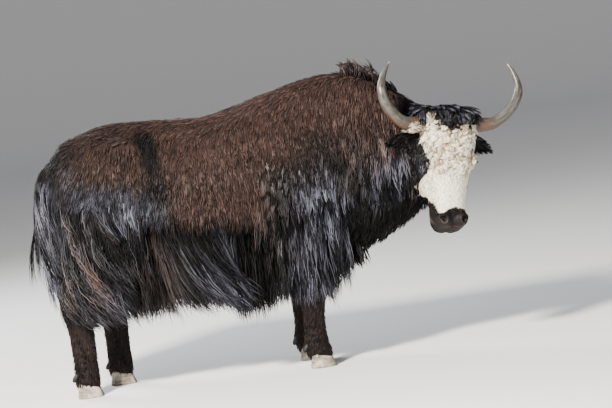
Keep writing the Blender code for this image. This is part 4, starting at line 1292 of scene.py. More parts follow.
def thigh_region(side):
    word = "left" if side > 0 else "right"

    def where(points, normals):
        x, y, z = points.T
        return (
            smooth(x, -0.70, -0.76) * smooth(z, 0.92, 0.82) * smooth(z, 0.40, 0.46) * side_of(points, side)
            * (1 - on_tail(points)) * smooth(y * side, 0.045, 0.075)
        )

    def warm(p, tone):
        return 0.40 * smooth(tone, 0.50, 0.85) * smooth(p[:, 0], -0.88, -1.0) * smooth(p[:, 2], 0.56, 0.70)

    def length(p):
        x, z = p[:, 0], p[:, 2]
        drop = np.clip(z - line_at(x, THIGH_HEM), 0.05, 1)
        most = np.interp(z, [0.62, 0.75, 0.86, 0.92], [0.33, 0.28, 0.16, 0.09])
        return np.minimum(drop * 1.15, most + 0.08 * smooth(x, -0.98, -1.10))

    def lie(p, n, rng):
        x, y, z = p.T
        sweep = np.interp(x, [-1.16, -1.05, -0.92, -0.82, -0.74], [1.10, 1.35, 1.15, 0.40, 0.05])
        sweep = sweep * np.interp(z, [0.45, 0.70, 0.88], [0.75, 1.0, 0.9])
        first = np.stack([-0.22 * sweep, side * np.full(len(p), 0.10), -np.ones(len(p))], axis=1)
        last = np.stack([sweep, side * np.full(len(p), 0.00), -np.ones(len(p))], axis=1)
        return swayed(unit(first), 0.08, rng), swayed(unit(last), 0.11, rng)

    return {
        "where": where, "length": length, "lie": lie, "warm": warm, "count": 2800, "clumps": 250, "lift": 0.022, "sunk": 0.013,
        "rings": LONG_RINGS, "width": coat_settings().long_width, "pinch": 0.60, "wave": 0.03, "fuzz": 0.03,
        "axis": BODY_AXIS, "nodes": [f"hind_{word}_upper", "torso"],
    }


def neck_region():
    def where(points, normals):
        x, y, z = points.T
        sides = smooth(x, 0.15, 0.22) * smooth(z, 1.12, 1.02) * (z > 0.60)
        chest = smooth(x, 0.16, 0.24) * smooth(z, 0.72, 0.62) * (z > 0.46)
        return np.clip(sides + chest, 0, 1) * (1 - head_share(points)) * smooth(x, 0.76, 0.70)

    def length(p):
        x, z = p[:, 0], p[:, 2]
        return np.interp(z, [0.55, 0.75, 0.90, 1.05, 1.12], [0.045, 0.065, 0.18, 0.12, 0.07])

    # Painted shade: the lower neck and the chest are darker.
    def dim(p):
        return 0.45 * smooth(p[:, 2], 0.84, 0.70)

    def lie(p, n, rng):
        first = lying((-0.05, 0, -1), n) + np.array([0, 0, -0.3])
        last = np.stack([-0.05 - 0.25 * smooth(p[:, 2], 0.75, 0.6), p[:, 1] * 0, -np.ones(len(p))], axis=1)
        return swayed(unit(first), 0.07, rng), swayed(unit(last), 0.10, rng)

    def recolour_and_sheen(p, marks):
        marks[:, 0] = 0
        return marks

    return {
        "where": where, "length": length, "lie": lie, "recolour_and_sheen": recolour_and_sheen, "dim": dim, "count": 4000, "clumps": 340,
        "lift": 0.018, "sunk": 0.013,
        "rings": LONG_RINGS, "width": coat_settings().long_width, "pinch": 0.65, "wave": 0.035, "fuzz": 0.03,
        "axis": BODY_AXIS, "nodes": ["neck", "torso"],
    }


def under_region():
    def where(points, normals):
        x, y, z = points.T
        return (
            smooth(normals[:, 2], -0.55, -0.80) * smooth(z, 0.60, 0.54) * (z > 0.42)
            * smooth(x, -0.95, -0.85) * smooth(x, 0.30, 0.20)
        )

    def length(p):
        drop = p[:, 2] - line_at(p[:, 0], SKIRT_HEM)
        return np.where(p[:, 0] < -0.16, np.clip(drop * 0.95, 0.08, 0.24), 0.11)

    def lie(p, n, rng):
        first = np.stack([p[:, 0] * 0, np.sign(p[:, 1]) * 0.15, -np.ones(len(p))], axis=1)
        last = np.stack([0.25 + p[:, 0] * 0, p[:, 1] * 0, -np.ones(len(p))], axis=1)
        return swayed(unit(first), 0.1, rng), swayed(unit(last), 0.12, rng)

    return {
        "where": where, "length": length, "lie": lie, "count": 1400, "clumps": 200, "lift": 0.0,
        "rings": SHORT_RINGS, "width": 0.010, "pinch": 0.65, "wave": 0.03, "fuzz": 0.03,
        "axis": BODY_AXIS, "nodes": ["torso"],
    }


def crest_region():
    def where(points, normals):
        x, y, z = points.T
        return smooth(x, 0.24, 0.30) * smooth(x, 0.52, 0.46) * smooth(np.abs(y + 0.01), 0.045, 0.02) * (z > 1.13)

    def length(p):
        return 0.060 + 0.050 * smooth(np.abs(p[:, 0] - 0.36), 0.12, 0.02)

    def lie(p, n, rng):
        first = np.stack([0.25 + p[:, 0] * 0, p[:, 1] * 0, np.ones(len(p))], axis=1)
        last = np.stack([-1.1 + p[:, 0] * 0, p[:, 1] * 0, np.full(len(p), 0.5)], axis=1)
        return swayed(unit(first), 0.22, rng), swayed(unit(last), 0.30, rng)

    def recolour_and_sheen(p, marks):
        marks[:, 1] *= 0.35
        return marks

    return {
        "where": where, "length": length, "lie": lie, "recolour_and_sheen": recolour_and_sheen, "count": 700, "clumps": 42, "lift": 0.0,
        "rings": LONG_RINGS, "width": 0.0048, "pinch": 0.80, "wave": 0.03, "fuzz": 0.035,
        "axis": BODY_AXIS, "nodes": ["neck"],
    }


def tail_region():
    def where(points, normals):
        return on_tail(points) * (points[:, 2] > 0.62)

    def length(p):
        return np.interp(p[:, 2], [0.62, 0.80, 1.0], [0.34, 0.40, 0.30])

    def lie(p, n, rng):
        side = np.sign(p[:, 1])
        sweep = np.interp(p[:, 2], [0.65, 0.85, 1.0], [0.35, 0.70, 0.80])
        first = np.stack([n[:, 0] * 0.26, n[:, 1] * 0.32, -0.8 * np.ones(len(p))], axis=1)
        last = np.stack([sweep * (0.3 + 0.7 * np.abs(n[:, 1])), side * 0.10, -np.ones(len(p))], axis=1)
        return swayed(unit(first), 0.12, rng), swayed(unit(last), 0.14, rng)

    def recolour_and_sheen(p, marks):
        # Painted sheen on the tail.
        marks[:, 2] = 0.38
        return marks

    return {
        "where": where, "length": length, "lie": lie, "recolour_and_sheen": recolour_and_sheen, "count": 3000, "clumps": 150, "lift": 0.013,
        "rings": LONG_RINGS, "width": 0.0052, "pinch": 0.45, "wave": 0.03, "fuzz": 0.035,
        "axis": TAIL_AXIS, "nodes": ["tail"],
    }


def leg_region(end):
    def where(points, normals):
        x, y, z = points.T
        fore = (x > -0.5) if end == "fore" else (x < -0.5)
        return smooth(z, 0.52, 0.44) * smooth(z, 0.050, 0.062) * (np.abs(y) > 0.05) * fore

    def length(p):
        return np.interp(p[:, 2], [0.06, 0.10, 0.18, 0.30, 0.45], [0.036, 0.032, 0.030, 0.034, 0.05])

    def lie(p, n, rng):
        way = lying((-0.12, 0, -1), n)
        return swayed(way, 0.10, rng), swayed(way, 0.14, rng)

    return {
        "where": where, "length": length, "lie": lie, "count": 3950, "clumps": 900, "lift": 0.016, "sunk": 0.002,
        "rings": TINY_RINGS, "width": 0.0046, "pinch": 0.3, "wave": 0.03, "fuzz": 0.04, "tones": (0.08, 0.12),
        "axis": BODY_AXIS, "nodes": [f"{end}_{w}_{part}" for w in ("left", "right") for part in ("lower", "upper")],
    }


def head_axis():
    return tuple(from_head([[-0.06, 0, -0.2]])[0]), tuple(turn_from_head([[0, 0, 1]])[0])


def curl_region():
    def where(points, normals):
        h = to_head(points)
        front = smooth(h[:, 0], -0.01, 0.015)
        clear = eye_gap(points, 0.030, 0.042)
        return front * smooth(h[:, 2], -0.275, -0.20) * smooth(h[:, 2], 0.045, 0.02) * head_share(points) * clear

    def length(p):
        h = to_head(p)
        return (0.050 - 0.022 * smooth(h[:, 2], -0.17, -0.25)) * (0.35 + 0.65 * eye_gap(p, 0.035, 0.075))

    def lie(p, n, rng):
        turn = rng.uniform(0, 2 * math.pi, len(p))
        h = to_head(p)
        way = np.stack([0.25 + 0 * turn, 0.9 * np.cos(turn) + h[:, 1] * 5, 0.7 * np.sin(turn) - 0.7], axis=1)
        way = turn_from_head(way)
        flat = lying(way, n)
        return unit(flat + n * 0.35), unit(flat - n * 0.15)

    def spin(p, rng):
        return rng.choice([-1, 1], len(p)) * rng.uniform(1.0, 2.3, len(p))

    return {
        "where": where, "length": length, "lie": lie, "spin": spin, "count": 5300, "clumps": 290, "lift": 0.030,
        "cling": 0.018, "rings": WAVY_RINGS, "width": 0.0036, "pinch": 0.46, "wave": 0.03, "fuzz": 0.02, "tones": (0.24, 0.17),
        "axis": head_axis(), "nodes": ["head"],
    }


def poll_region():
    def where(points, normals):
        h = to_head(points)
        top = smooth(h[:, 2], 0.0, 0.03)
        return top * head_share(points) * (1 - ear_share(points))

    def length(p):
        return np.full(len(p), 0.062)

    def lie(p, n, rng):
        h = to_head(p)
        centre = smooth(np.abs(h[:, 1]), 0.075, 0.02)
        front = smooth(h[:, 0], -0.08, 0.0)
        out = np.tanh(h[:, 1] / 0.05) * (1 - centre)
        way = np.stack([0.9 * front - 0.1, 0.6 * out, -0.3 - 0.8 * front], axis=1)
        flat = lying(turn_from_head(way), n)
        return swayed(unit(flat + 0.30 * n), 0.12, rng), swayed(unit(flat + [0, 0, -0.3]), 0.18, rng)

    def recolour_and_sheen(p, marks):
        h = to_head(p)
        lock = smooth(h[:, 1], -0.118, -0.106) * smooth(h[:, 1], -0.058, -0.070) * smooth(h[:, 0], 0.0, 0.02)
        marks[:, 0] = np.maximum(marks[:, 0], 0.9 * lock * smooth(h[:, 2], 0.048, 0.032))
        # Painted sheen over the dark forelock.
        marks[:, 2] = np.maximum(marks[:, 2], 0.45 * (1 - marks[:, 0]))
        return marks

    return {
        "where": where, "length": length, "lie": lie, "recolour_and_sheen": recolour_and_sheen, "count": 2500, "clumps": 150, "lift": 0.030,
        "rings": WAVY_RINGS, "width": 0.0033, "pinch": 0.45, "wave": 0.04, "fuzz": 0.03,
        "cling": 0.03, "axis": head_axis(), "nodes": ["head"],
    }


def cheek_region():
    def where(points, normals):
        h = to_head(points)
        front = smooth(h[:, 0], -0.01, 0.015)
        body = (1 - front) * smooth(h[:, 2], 0.02, -0.02) * smooth(h[:, 2], -0.42, -0.34)
        clear = eye_gap(points, 0.032, 0.046) * (1 - 0.9 * face_white(points, h))
        return body * head_share(points) * (1 - ear_share(points)) * clear

    def length(p):
        h = to_head(p)
        return (0.024 + 0.05 * smooth(h[:, 0], -0.07, -0.15)) * (0.35 + 0.65 * eye_gap(p, 0.03, 0.07))

    def lie(p, n, rng):
        way = lying(turn_from_head(np.broadcast_to([-0.45, 0, -1.0], p.shape)), n)
        return swayed(way, 0.14, rng), swayed(unit(way + [0, 0, -0.25]), 0.16, rng)

    def recolour_and_sheen(p, marks):
        marks[:, 0] *= marks[:, 0] > 0.85
        return marks

    return {
        "where": where, "length": length, "lie": lie, "recolour_and_sheen": recolour_and_sheen, "count": 2400, "clumps": 420, "lift": 0.020,
        "rings": SHORT_RINGS, "width": 0.0038, "pinch": 0.55, "wave": 0.04, "fuzz": 0.04,
        "axis": head_axis(), "nodes": ["head"],
    }


def face_region():
    def where(points, normals):
        h = to_head(points)
        front = np.maximum(smooth(h[:, 0], -0.05, -0.01), face_white(points, h))
        low = (0.35 + 0.65 * smooth(h[:, 2], -0.19, -0.24)) * smooth(h[:, 2], -0.445, -0.42)
        low = low * smooth(h[:, 2], 0.02, -0.02)
        around = (1 - eye_gap(points, 0.036, 0.052)) * eye_gap(points, 0.021, 0.026)
        return np.maximum(front * low, around) * head_share(points) * (1 - markings(points)[:, 3])

    def length(p):
        h = to_head(p)
        return (0.010 + 0.012 * smooth(h[:, 2], -0.32, -0.22)) * (0.45 + 0.55 * eye_gap(p, 0.030, 0.060))

    def lie(p, n, rng):
        h = to_head(p)
        way = np.stack([0 * h[:, 0], 0.9 * np.sign(h[:, 1]) * smooth(np.abs(h[:, 1]), 0.0, 0.06), -1 + 0 * h[:, 0]], 1)
        way = lying(turn_from_head(way), n)
        return swayed(way, 0.08, rng), swayed(way, 0.10, rng)

    return {
        "where": where, "length": length, "lie": lie, "count": 7600, "clumps": 1100, "lift": 0.010, "sunk": 0.0015,
        "rings": TINY_RINGS, "width": 0.0021, "pinch": 0.4, "wave": 0.03, "fuzz": 0.03, "pale": 0.75,
        "tones": (0.05, 0.08),
        "axis": head_axis(), "nodes": ["head"],
    }


def lash_region():
    def where(points, normals):
        h = to_head(points)
        share = np.zeros(len(h))
        for side in (-1, 1):
            away = h - EYE_FRONT * (1, side, 1)
            r = np.linalg.norm(away, axis=1)
            share = np.maximum(share, (r < 0.024) * (away[:, 2] > 0.0080) * (away[:, 2] < 0.0125))
        return share * head_share(points)

    def length(p):
        return np.full(len(p), 0.021)

    def lie(p, n, rng):
        side = np.sign(to_head(p)[:, 1])
        first = turn_from_head(np.stack([0.5 + 0 * side, 0.9 * side, 0.1 + 0 * side], 1))
        last = turn_from_head(np.stack([0.4 + 0 * side, 0.7 * side, -0.7 + 0 * side], 1))
        return swayed(unit(first), 0.10, rng), swayed(unit(last), 0.14, rng)

    def recolour_and_sheen(p, marks):
        return marks * 0

    return {
        "where": where, "length": length, "lie": lie, "recolour_and_sheen": recolour_and_sheen, "count": 110, "clumps": 110, "lift": 0.0,
        "rings": SHORT_RINGS, "width": 0.0010, "pinch": 0.0, "wave": 0.02, "fuzz": 0.03, "sunk": 0.002,
        "axis": head_axis(), "nodes": ["head"],
    }


def tuft_region():
    def where(points, normals):
        return hill(to_head(points), (-0.005, -0.128, -0.040), (0.050, 0.022, 0.022)) * head_share(points)

    def length(p):
        return np.full(len(p), 0.085)

    def lie(p, n, rng):
        first = np.broadcast_to(turn_from_head([0.35, -1.0, 0.10]), p.shape)
        last = np.broadcast_to(turn_from_head([-0.10, -1.0, -0.05]), p.shape)
        return swayed(unit(first), 0.18, rng), swayed(unit(last), 0.22, rng)

    def recolour_and_sheen(p, marks):
        return np.broadcast_to([0.9, 0.0, 0.0, 0.0], marks.shape).copy()

    def dim(p):
        return np.full(len(p), 0.25)

    return {
        "where": where, "length": length, "lie": lie, "recolour_and_sheen": recolour_and_sheen, "dim": dim, "count": 260, "clumps": 14, "lift": 0.010,
        "rings": WAVY_RINGS, "width": 0.0034, "pinch": 0.7, "wave": 0.06, "fuzz": 0.04,
        "axis": head_axis(), "nodes": ["head"],
    }


def ear_region():
    def where(points, normals):
        return ear_share(points)

    def length(p):
        return np.full(len(p), 0.034)

    def lie(p, n, rng):
        h = to_head(p)
        way = np.stack([0.1 + 0 * h[:, 0], 1.0 * np.sign(h[:, 1]), -0.5 + 0 * h[:, 0]], 1)
        way = lying(turn_from_head(way), n)
        return swayed(unit(way + 0.2 * n), 0.15, rng), swayed(unit(way + [0, 0, -0.5]), 0.2, rng)

    return {
        "where": where, "length": length, "lie": lie, "count": 1400, "clumps": 150, "lift": 0.013,
        "rings": SHORT_RINGS, "width": 0.0034, "pinch": 0.55, "wave": 0.05, "fuzz": 0.05,
        "axis": head_axis(), "nodes": ["ear_left", "ear_right"],
    }


# Eyes, horns and hooves


def eye_material():
    shade = Shade("eye_wet", Coat_Weight=1.0, Coat_Roughness=0.03, Roughness=0.18, Specular_IOR_Level=0.5)
    x, y, z = shade.parts("gaze")
    ring = (y * y + z * z) ** 0.5
    streaks = shade.noise(shade.attribute("gaze"), 900.0, 2.0)
    iris = shade.mix(streaks, (0.007, 0.0040, 0.0025), (0.022, 0.011, 0.0055))
    pupil = ((y * 0.55) ** 2 + (z * 1.15) ** 2) ** 0.5
    base = shade.mix(pupil.step(0.0042, 0.0048), (0.002, 0.002, 0.003), iris)
    base = shade.mix(ring.step(0.0125, 0.0140), base, (0.035, 0.026, 0.022))
    return shade.finish(Base_Color=base)


def make_eyes():
    material = eye_material()
    for side, word in ((-1, "right"), (1, "left")):
        points, triangles = ellipsoid((0, 0, 0), [EYE_RADIUS * 0.985] * 3, 28, 36)
        points = points[:, [2, 1, 0]] * (1, 1, 1)
        cornea = smooth(np.hypot(points[:, 1], points[:, 2]), 0.0135, 0.0) * (points[:, 0] > 0)
        local = points.copy()
        points = points * (1 + 0.05 * cornea)[:, None]
        if volume(points, triangles) < 0:
            triangles = triangles[:, ::-1]
        points, _ = moved((points, triangles), eye_matrix(side))
        item = fast_mesh("eyeball_" + word, points, triangles)
        store(item, "gaze", local, "FLOAT_VECTOR")
        finished(item, material, ["eye_" + word])


def node_group(name, inputs):
    """An empty Geometry Nodes tree with a geometry input, named inputs and a geometry output."""
    tree = bpy.data.node_groups.new(name, "GeometryNodeTree")
    tree.interface.new_socket("Geometry", in_out="INPUT", socket_type="NodeSocketGeometry")
    for label, kind in inputs:
        tree.interface.new_socket(label, in_out="INPUT", socket_type="NodeSocket" + kind)
    tree.interface.new_socket("Geometry", in_out="OUTPUT", socket_type="NodeSocketGeometry")
    return tree, tree.nodes.new("NodeGroupInput"), tree.nodes.new("NodeGroupOutput")


def add_node(tree, kind, settings=None, **sockets):
    """A Geometry Nodes node: its settings, then the values or links of its sockets by name."""
    made = tree.nodes.new(kind)
    for key, value in (settings or {}).items():
        setattr(made, key, value)
    for key, value in sockets.items():
        target = made.inputs[key.replace("_", " ")]
        if isinstance(value, bpy.types.NodeSocket):
            tree.links.new(value, target)
        else:
            target.default_value = value
    return made


def run_nodes(item, tree, values):
    """Sets a tree's inputs by their identifiers, and makes its result a plain mesh."""
    modifier = item.modifiers.new(tree.name, "NODES")
    modifier.node_group = tree
    for socket in tree.interface.items_tree:
        if socket.in_out == "INPUT" and socket.name in values:
            modifier[socket.identifier] = values[socket.name]
    graph = bpy.context.evaluated_depsgraph_get()
    mesh = bpy.data.meshes.new_from_object(item.evaluated_get(graph))
    name = item.name
    bpy.data.objects.remove(item)
    made = bpy.data.objects.new(name, mesh)
    bpy.context.scene.collection.objects.link(made)
    made.data.shade_smooth()
    return made


def horn_tree():
    """A bar along a curve with the curve's own radius, growth rings at its foot and a smooth tip."""
    inputs = [("Sides", "Int"), ("Rings", "Int"), ("Ring depth", "Float"), ("Material", "Material")]
    tree, start, end = node_group("horn", inputs)
    fine = add_node(tree, "GeometryNodeResampleCurve", Curve=start.outputs["Geometry"], Count=160)
    factor = add_node(tree, "GeometryNodeSplineParameter")
    kept = add_node(tree, "GeometryNodeStoreNamedAttribute", {"data_type": "FLOAT", "domain": "POINT"},
                    Geometry=fine.outputs[0], Name="rise", Value=factor.outputs["Factor"])
    circle = add_node(tree, "GeometryNodeCurvePrimitiveCircle", Resolution=start.outputs["Sides"], Radius=1.0)
    radius = add_node(tree, "GeometryNodeInputRadius")
    bar = add_node(tree, "GeometryNodeCurveToMesh", Curve=kept.outputs[0], Profile_Curve=circle.outputs[0],
                   Fill_Caps=True)
    if "Scale" in bar.inputs:
        tree.links.new(radius.outputs[0], bar.inputs["Scale"])
    rise = add_node(tree, "GeometryNodeInputNamedAttribute", {"data_type": "FLOAT"}, Name="rise")
    value = next(s for s in rise.outputs if s.enabled)

    def sum_of(operation, a, b=0.0):
        made = tree.nodes.new("ShaderNodeMath")
        made.operation = operation
        for i, v in enumerate((a, b)):
            if isinstance(v, bpy.types.NodeSocket):
                tree.links.new(v, made.inputs[i])
            else:
                made.inputs[i].default_value = v
        return made.outputs[0]

    fade = sum_of("MAXIMUM", sum_of("SUBTRACT", 1.0, sum_of("MULTIPLY", value, 2.6)), 0.0)
    turns = sum_of("MULTIPLY", start.outputs["Rings"], 2.6 * 2 * math.pi)
    wave = sum_of("SINE", sum_of("MULTIPLY", sum_of("POWER", value, 0.9), turns))
    height = sum_of("MULTIPLY", sum_of("MULTIPLY", wave, fade), start.outputs["Ring depth"])
    normal = add_node(tree, "GeometryNodeInputNormal")
    scaled = tree.nodes.new("ShaderNodeVectorMath")
    scaled.operation = "SCALE"
    tree.links.new(normal.outputs[0], scaled.inputs[0])
    tree.links.new(height, scaled.inputs["Scale"])
    shaped = add_node(tree, "GeometryNodeSetPosition", Geometry=bar.outputs[0], Offset=scaled.outputs[0])
    whole = add_node(tree, "GeometryNodeRealizeInstances", Geometry=shaped.outputs[0])
    painted = add_node(tree, "GeometryNodeSetMaterial", Geometry=whole.outputs[0],
                       Material=start.outputs["Material"])
    tree.links.new(painted.outputs[0], end.inputs[0])
    return tree


def horn_material():
    body = body_settings()
    shade = Shade("horn", Specular_IOR_Level=0.5, Coat_Roughness=0.25)
    rise = shade.node("ShaderNodeAttribute", {"attribute_name": "rise"}, output="Fac")
    along = shade.noise(shade.attribute("grain"), 1.0, 5.0, 0.6)
    blotch = shade.noise(shade.place(), 26.0, 4.0)
    _, across, _ = shade.parts("grain")
    streak = along.step(0.42, 0.64)
    base = shade.mix(streak, body.horn_pale, (0.017, 0.017, 0.018))
    base = shade.mix(blotch.step(0.46, 0.66) * 0.75, base, (0.040, 0.024, 0.012))
    foot = (rise + 0.25 * blotch).step(0.56, 0.24)
    # Painted shade: each horn darker on its downward side, most towards its foot.
    under = (-1.0 * across - 1.6 * rise).step(-0.2, 2.2)
    base = shade.mix((foot + under).step(0.0, 1.1) * 0.9, base, body.horn_dark_and_shade)
    tip = (rise + 0.05 * blotch).step(0.97, 1.03)
    base = shade.mix(tip, base, (0.26, 0.24, 0.17))
    rough = 0.26 + 0.20 * blotch
    height = along * 0.6 + shade.noise(shade.attribute("grain"), 4.0, 3.0) * 0.4
    return shade.finish(Base_Color=base, Roughness=rough, Normal=shade.bump(height, 0.0012, 0.7))


def make_horns():
    settings = body_settings()
    tree, material = horn_tree(), horn_material()
    rows = smooth_rows(HORN, 6)
    for side, word in ((-1, "right"), (1, "left")):
        path = np.stack([rows[:, 2], side * rows[:, 0] + HORN_LEAN * np.maximum(0, rows[:, 1]), rows[:, 1]], axis=1)
        path = from_head(path)
        radii = rows[:, 3]
        end = path[-1] + unit(path[-1] - path[-2]) * 0.0025
        path, radii = np.vstack([path, end]), np.append(radii, 0.0006)
        curve = bpy.data.curves.new("horn", "CURVE")
        curve.dimensions = "3D"
        spline = curve.splines.new("POLY")
        spline.points.add(len(path) - 1)
        for point, at, radius in zip(spline.points, path, radii):
            point.co = (*at, 1)
            point.radius = float(radius)
        item = bpy.data.objects.new("horn_sheath_" + word, curve)
        bpy.context.scene.collection.objects.link(item)
        values = {"Sides": 40, "Rings": settings.horn_rings, "Ring depth": settings.ring_depth, "Material": material}
        item = run_nodes(item, tree, values)
        points, _, _ = arrays(item)
        rise = np.empty(len(points), np.float32)
        item.data.attributes["rise"].data.foreach_get("value", rise)
        run = np.append(0, np.linalg.norm(np.diff(path, axis=0), axis=1).cumsum())
        middle = np.stack([np.interp(rise * run[-1], run, path[:, i]) for i in range(3)], axis=1)
        spoke = unit(points - middle)
        grain = np.stack([spoke @ turn_from_head([1, 0, 0]) * 3.2, spoke @ turn_from_head([0, 0, 1]) * 3.2,
                          rise * run[-1] * 9], axis=1)
        store(item, "grain", grain, "FLOAT_VECTOR")
        finished(item, material, ["horn_" + word])


def claw_shape(leg, inner):
    """Half of a cloven hoof: a flat sole, a sloping front wall and a top that follows the coronet."""
    side = 1 if leg.endswith("left") else -1
    shift = (CLAW_WIDTH / 2 + CLAW_SPLIT / 2) * (-1 if inner else 1) * side
    toe = FOOT_X[leg] + (0.008 if leg.startswith("fore") else 0.014)
    rings = []
    levels = ((0.0, 0.965, 0.95), (0.03, 0.99, 0.985), (0.10, 1.0, 1.0), (0.35, 0.93, 0.98), (0.6, 0.88, 0.96),
              (0.85, 0.83, 0.94), (1.0, 0.79, 0.90), (1.08, 0.72, 0.82))
    for level, length, width in levels:
        turn = np.linspace(0, 2 * math.pi, 36, endpoint=False)
        c, s = np.cos(turn), np.sin(turn)
        groove = 1 + 0.006 * np.sin(level * 40)
        x = CLAW_LENGTH * (0.5 * c * length * groove - 0.012 * level)
        y = CLAW_WIDTH * 0.5 * s * width * (1 - 0.22 * c) * groove
        z = level * (CORONET - CORONET_SLOPE * x - 0.012)
        rings.append(np.stack([toe + x, side * FOOT_Y + shift + y, z], axis=1))
    return loft(rings)


def dewclaw_shapes(leg):
    """Two short cones behind the foot that point down and back."""
    side = 1 if leg.endswith("left") else -1
    back = FOOT_X[leg] - (0.058 if leg.startswith("fore") else 0.040)
    stations = ((0.012, 0.112, 0.0060), (0.004, 0.106, 0.0105), (-0.006, 0.094, 0.0115), (-0.013, 0.084, 0.0085),
                (-0.016, 0.078, 0.0040))
    rows = smooth_rows(stations, 4)
    shapes = []
    for off in (-0.026, 0.026):
        path = np.stack([back + rows[:, 0], np.full(len(rows), side * FOOT_Y + off), rows[:, 1]], axis=1)
        shapes.append(tube(path, rows[:, 2], 16))
    return shapes


def hoof_material(name, light):
    body = body_settings()
    shade = Shade(name, Specular_IOR_Level=0.4)
    bands = shade.noise(shade.place((14, 14, 130)), 1.0, 4.0, 0.6)
    streaks = shade.noise(shade.place((160, 160, 12)), 1.0, 3.0)
    dust = shade.noise(shade.place(), 24.0, 5.0)
    base = shade.mix(bands.step(0.38, 0.62), body.hoof, (0.11, 0.090, 0.070))
    base = shade.mix(streaks.step(0.5, 0.75) * 0.5, base, (0.09, 0.075, 0.06))
    base = shade.mix(dust.step(0.42, 0.66) * 0.75, base, (0.48, 0.42, 0.33))
    base = shade.mix(1.0, base, (light, light, light), "MULTIPLY")
    height = bands * 0.7 + streaks * 0.3
    return shade.finish(Base_Color=base, Roughness=0.52 + 0.25 * dust, Normal=shade.bump(height, 0.0018, 0.8))


def make_hooves():
    material, dark = hoof_material("hoof", 1.05), hoof_material("dewclaw", 0.035)
    for leg in FOOT_X:
        for inner in (False, True):
            word = "inner" if inner else "outer"
            item = fast_mesh(f"{leg}_hoof_{word}", *claw_shape(leg, inner))
            item.data.set_sharp_from_angle(angle=math.radians(60))
            finished(item, material, [f"{leg}_claw_{word}"])
        item = fast_mesh(f"{leg}_dewclaws", *joined(dewclaw_shapes(leg)))
        finished(item, dark, [f"{leg}_lower"])


# Stage


def make_stage():
    """A pale floor that curves up far away, soft light and the camera at the photo's angle."""
    turn = np.linspace(0, 2 * math.pi, 96, endpoint=False)
    rings = []
    for a in np.linspace(0, math.pi / 2, 13):
        radius, height = FLOOR_REACH + FLOOR_CURVE * math.sin(a), FLOOR_CURVE * (1 - math.cos(a))
        rings.append(np.stack([radius * np.cos(turn), radius * np.sin(turn), np.full(96, height)], axis=1))
    points = np.vstack([[(0.0, 0.0, 0.0)], *rings])
    j, k = np.arange(96), (np.arange(96) + 1) % 96
    triangles = [np.stack([np.zeros(96, int), 1 + j, 1 + k], axis=1)]
    for i in range(12):
        a, b = 1 + i * 96, 97 + i * 96
        triangles += [np.stack([a + j, b + j, b + k], axis=1), np.stack([a + j, b + k, a + k], axis=1)]
    floor = fast_mesh("floor", points, np.vstack(triangles))
    shade = Shade("floor", Roughness=0.9, Base_Color=(0.72, 0.71, 0.69, 1))
    floor.data.materials.append(shade.material)
    floor.location.z = -0.0004
    world = bpy.data.worlds.new("studio")
    bpy.context.scene.world = world
    world.use_nodes = True
    background = world.node_tree.nodes["Background"]
    background.inputs["Color"].default_value = (0.86, 0.90, 1.0, 1)
    background.inputs["Strength"].default_value = 0.36
    lights = (
        ("key", (-2.8, -5.2, 4.6), 2300.0, 1.0, (1.0, 0.95, 0.88)),
        ("fill", (4.6, -4.0, 2.2), 90.0, 3.0, (0.90, 0.94, 1.0)),
        ("rim", (-3.5, 4.0, 4.0), 500.0, 2.0, (0.92, 0.95, 1.0)),
    )
    for name, place, power, width, colour in lights:
        lamp = bpy.data.lights.new(name, "AREA")
        lamp.energy, lamp.size, lamp.color = power, width, colour
        item = bpy.data.objects.new(name, lamp)
        item.location = place
        item.rotation_euler = (Vector((0, 0, 0.8)) - item.location).to_track_quat("-Z", "Y").to_euler()
        bpy.context.scene.collection.objects.link(item)
    data = bpy.data.cameras.new("camera")
    data.lens, data.sensor_width = CAMERA_LENS, SENSOR
    camera = bpy.data.objects.new("camera", data)
    e = CAMERA_ELEVATION
    back, right, up = Vector((0, -math.cos(e), math.sin(e))), Vector((1, 0, 0)), Vector((0, math.sin(e), math.cos(e)))
    turn = Matrix((right, up, back)).transposed() @ Matrix.Rotation(CAMERA_ROLL, 3, "Z")
    place = CAMERA_AIM + Vector(ORIGIN) + back * CAMERA_DISTANCE
    camera.matrix_world = Matrix.Translation(place) @ turn.to_4x4()
    bpy.context.scene.collection.objects.link(camera)
    bpy.context.scene.camera = camera


# Operators


class YAK_OT_skin(bpy.types.Operator):
    """Lay one skin over the flesh of the whole animal"""

    bl_idname = "yak.skin"
    bl_label = "Skin"

    def execute(self, context):
        item = make_skin()
        points, normals, triangles = arrays(item)
        SKIN["arrays"] = (points, normals, triangles)
        SKIN["tree"] = BVHTree.FromPolygons(points.tolist(), triangles.tolist())
        marks = markings(points)
        store(item, "marks", marks)
        tone = 0.5 + 0.10 * wobble(points, 40, 9)
        # The skin's grade sets painted shade under the coat: dark under the body's hair and the face's curls, lighter
        # on the lower legs and the white nose.
        low = smooth(to_head(points)[:, 2], -0.19, -0.27)
        pale = 0.05 + 0.14 * smooth(points[:, 2], 0.46, 0.36)
        pale = pale + head_share(points) * (0.12 + 0.73 * low * marks[:, 0])
        strand = np.stack([pale, tone, np.zeros(len(points)), np.ones(len(points))], axis=1)
        store(item, "strand", strand)
        store(item, "rim", rims(points), "FLOAT")
        finished(item, skin_material(), FLESH)
        return {"FINISHED"}


def grow_all(pieces, material_name, roughness, shine, seed):
    material = hair_material(material_name, roughness, shine)[0].material
    rng = np.random.default_rng(SEED + seed)
    for name, region in pieces:
        grow(name, region, material, rng)
    return {"FINISHED"}


class YAK_OT_back(bpy.types.Operator):
    """Grow the short coat of the back, the flanks and the neck"""

    bl_idname = "yak.back"
    bl_label = "Short coat"

    def execute(self, context):
        pieces = [("coat_back_right", back_region(-1)), ("coat_back_left", back_region(1))]
        return grow_all(pieces, "short_coat", 0.60, 0.30, 1)


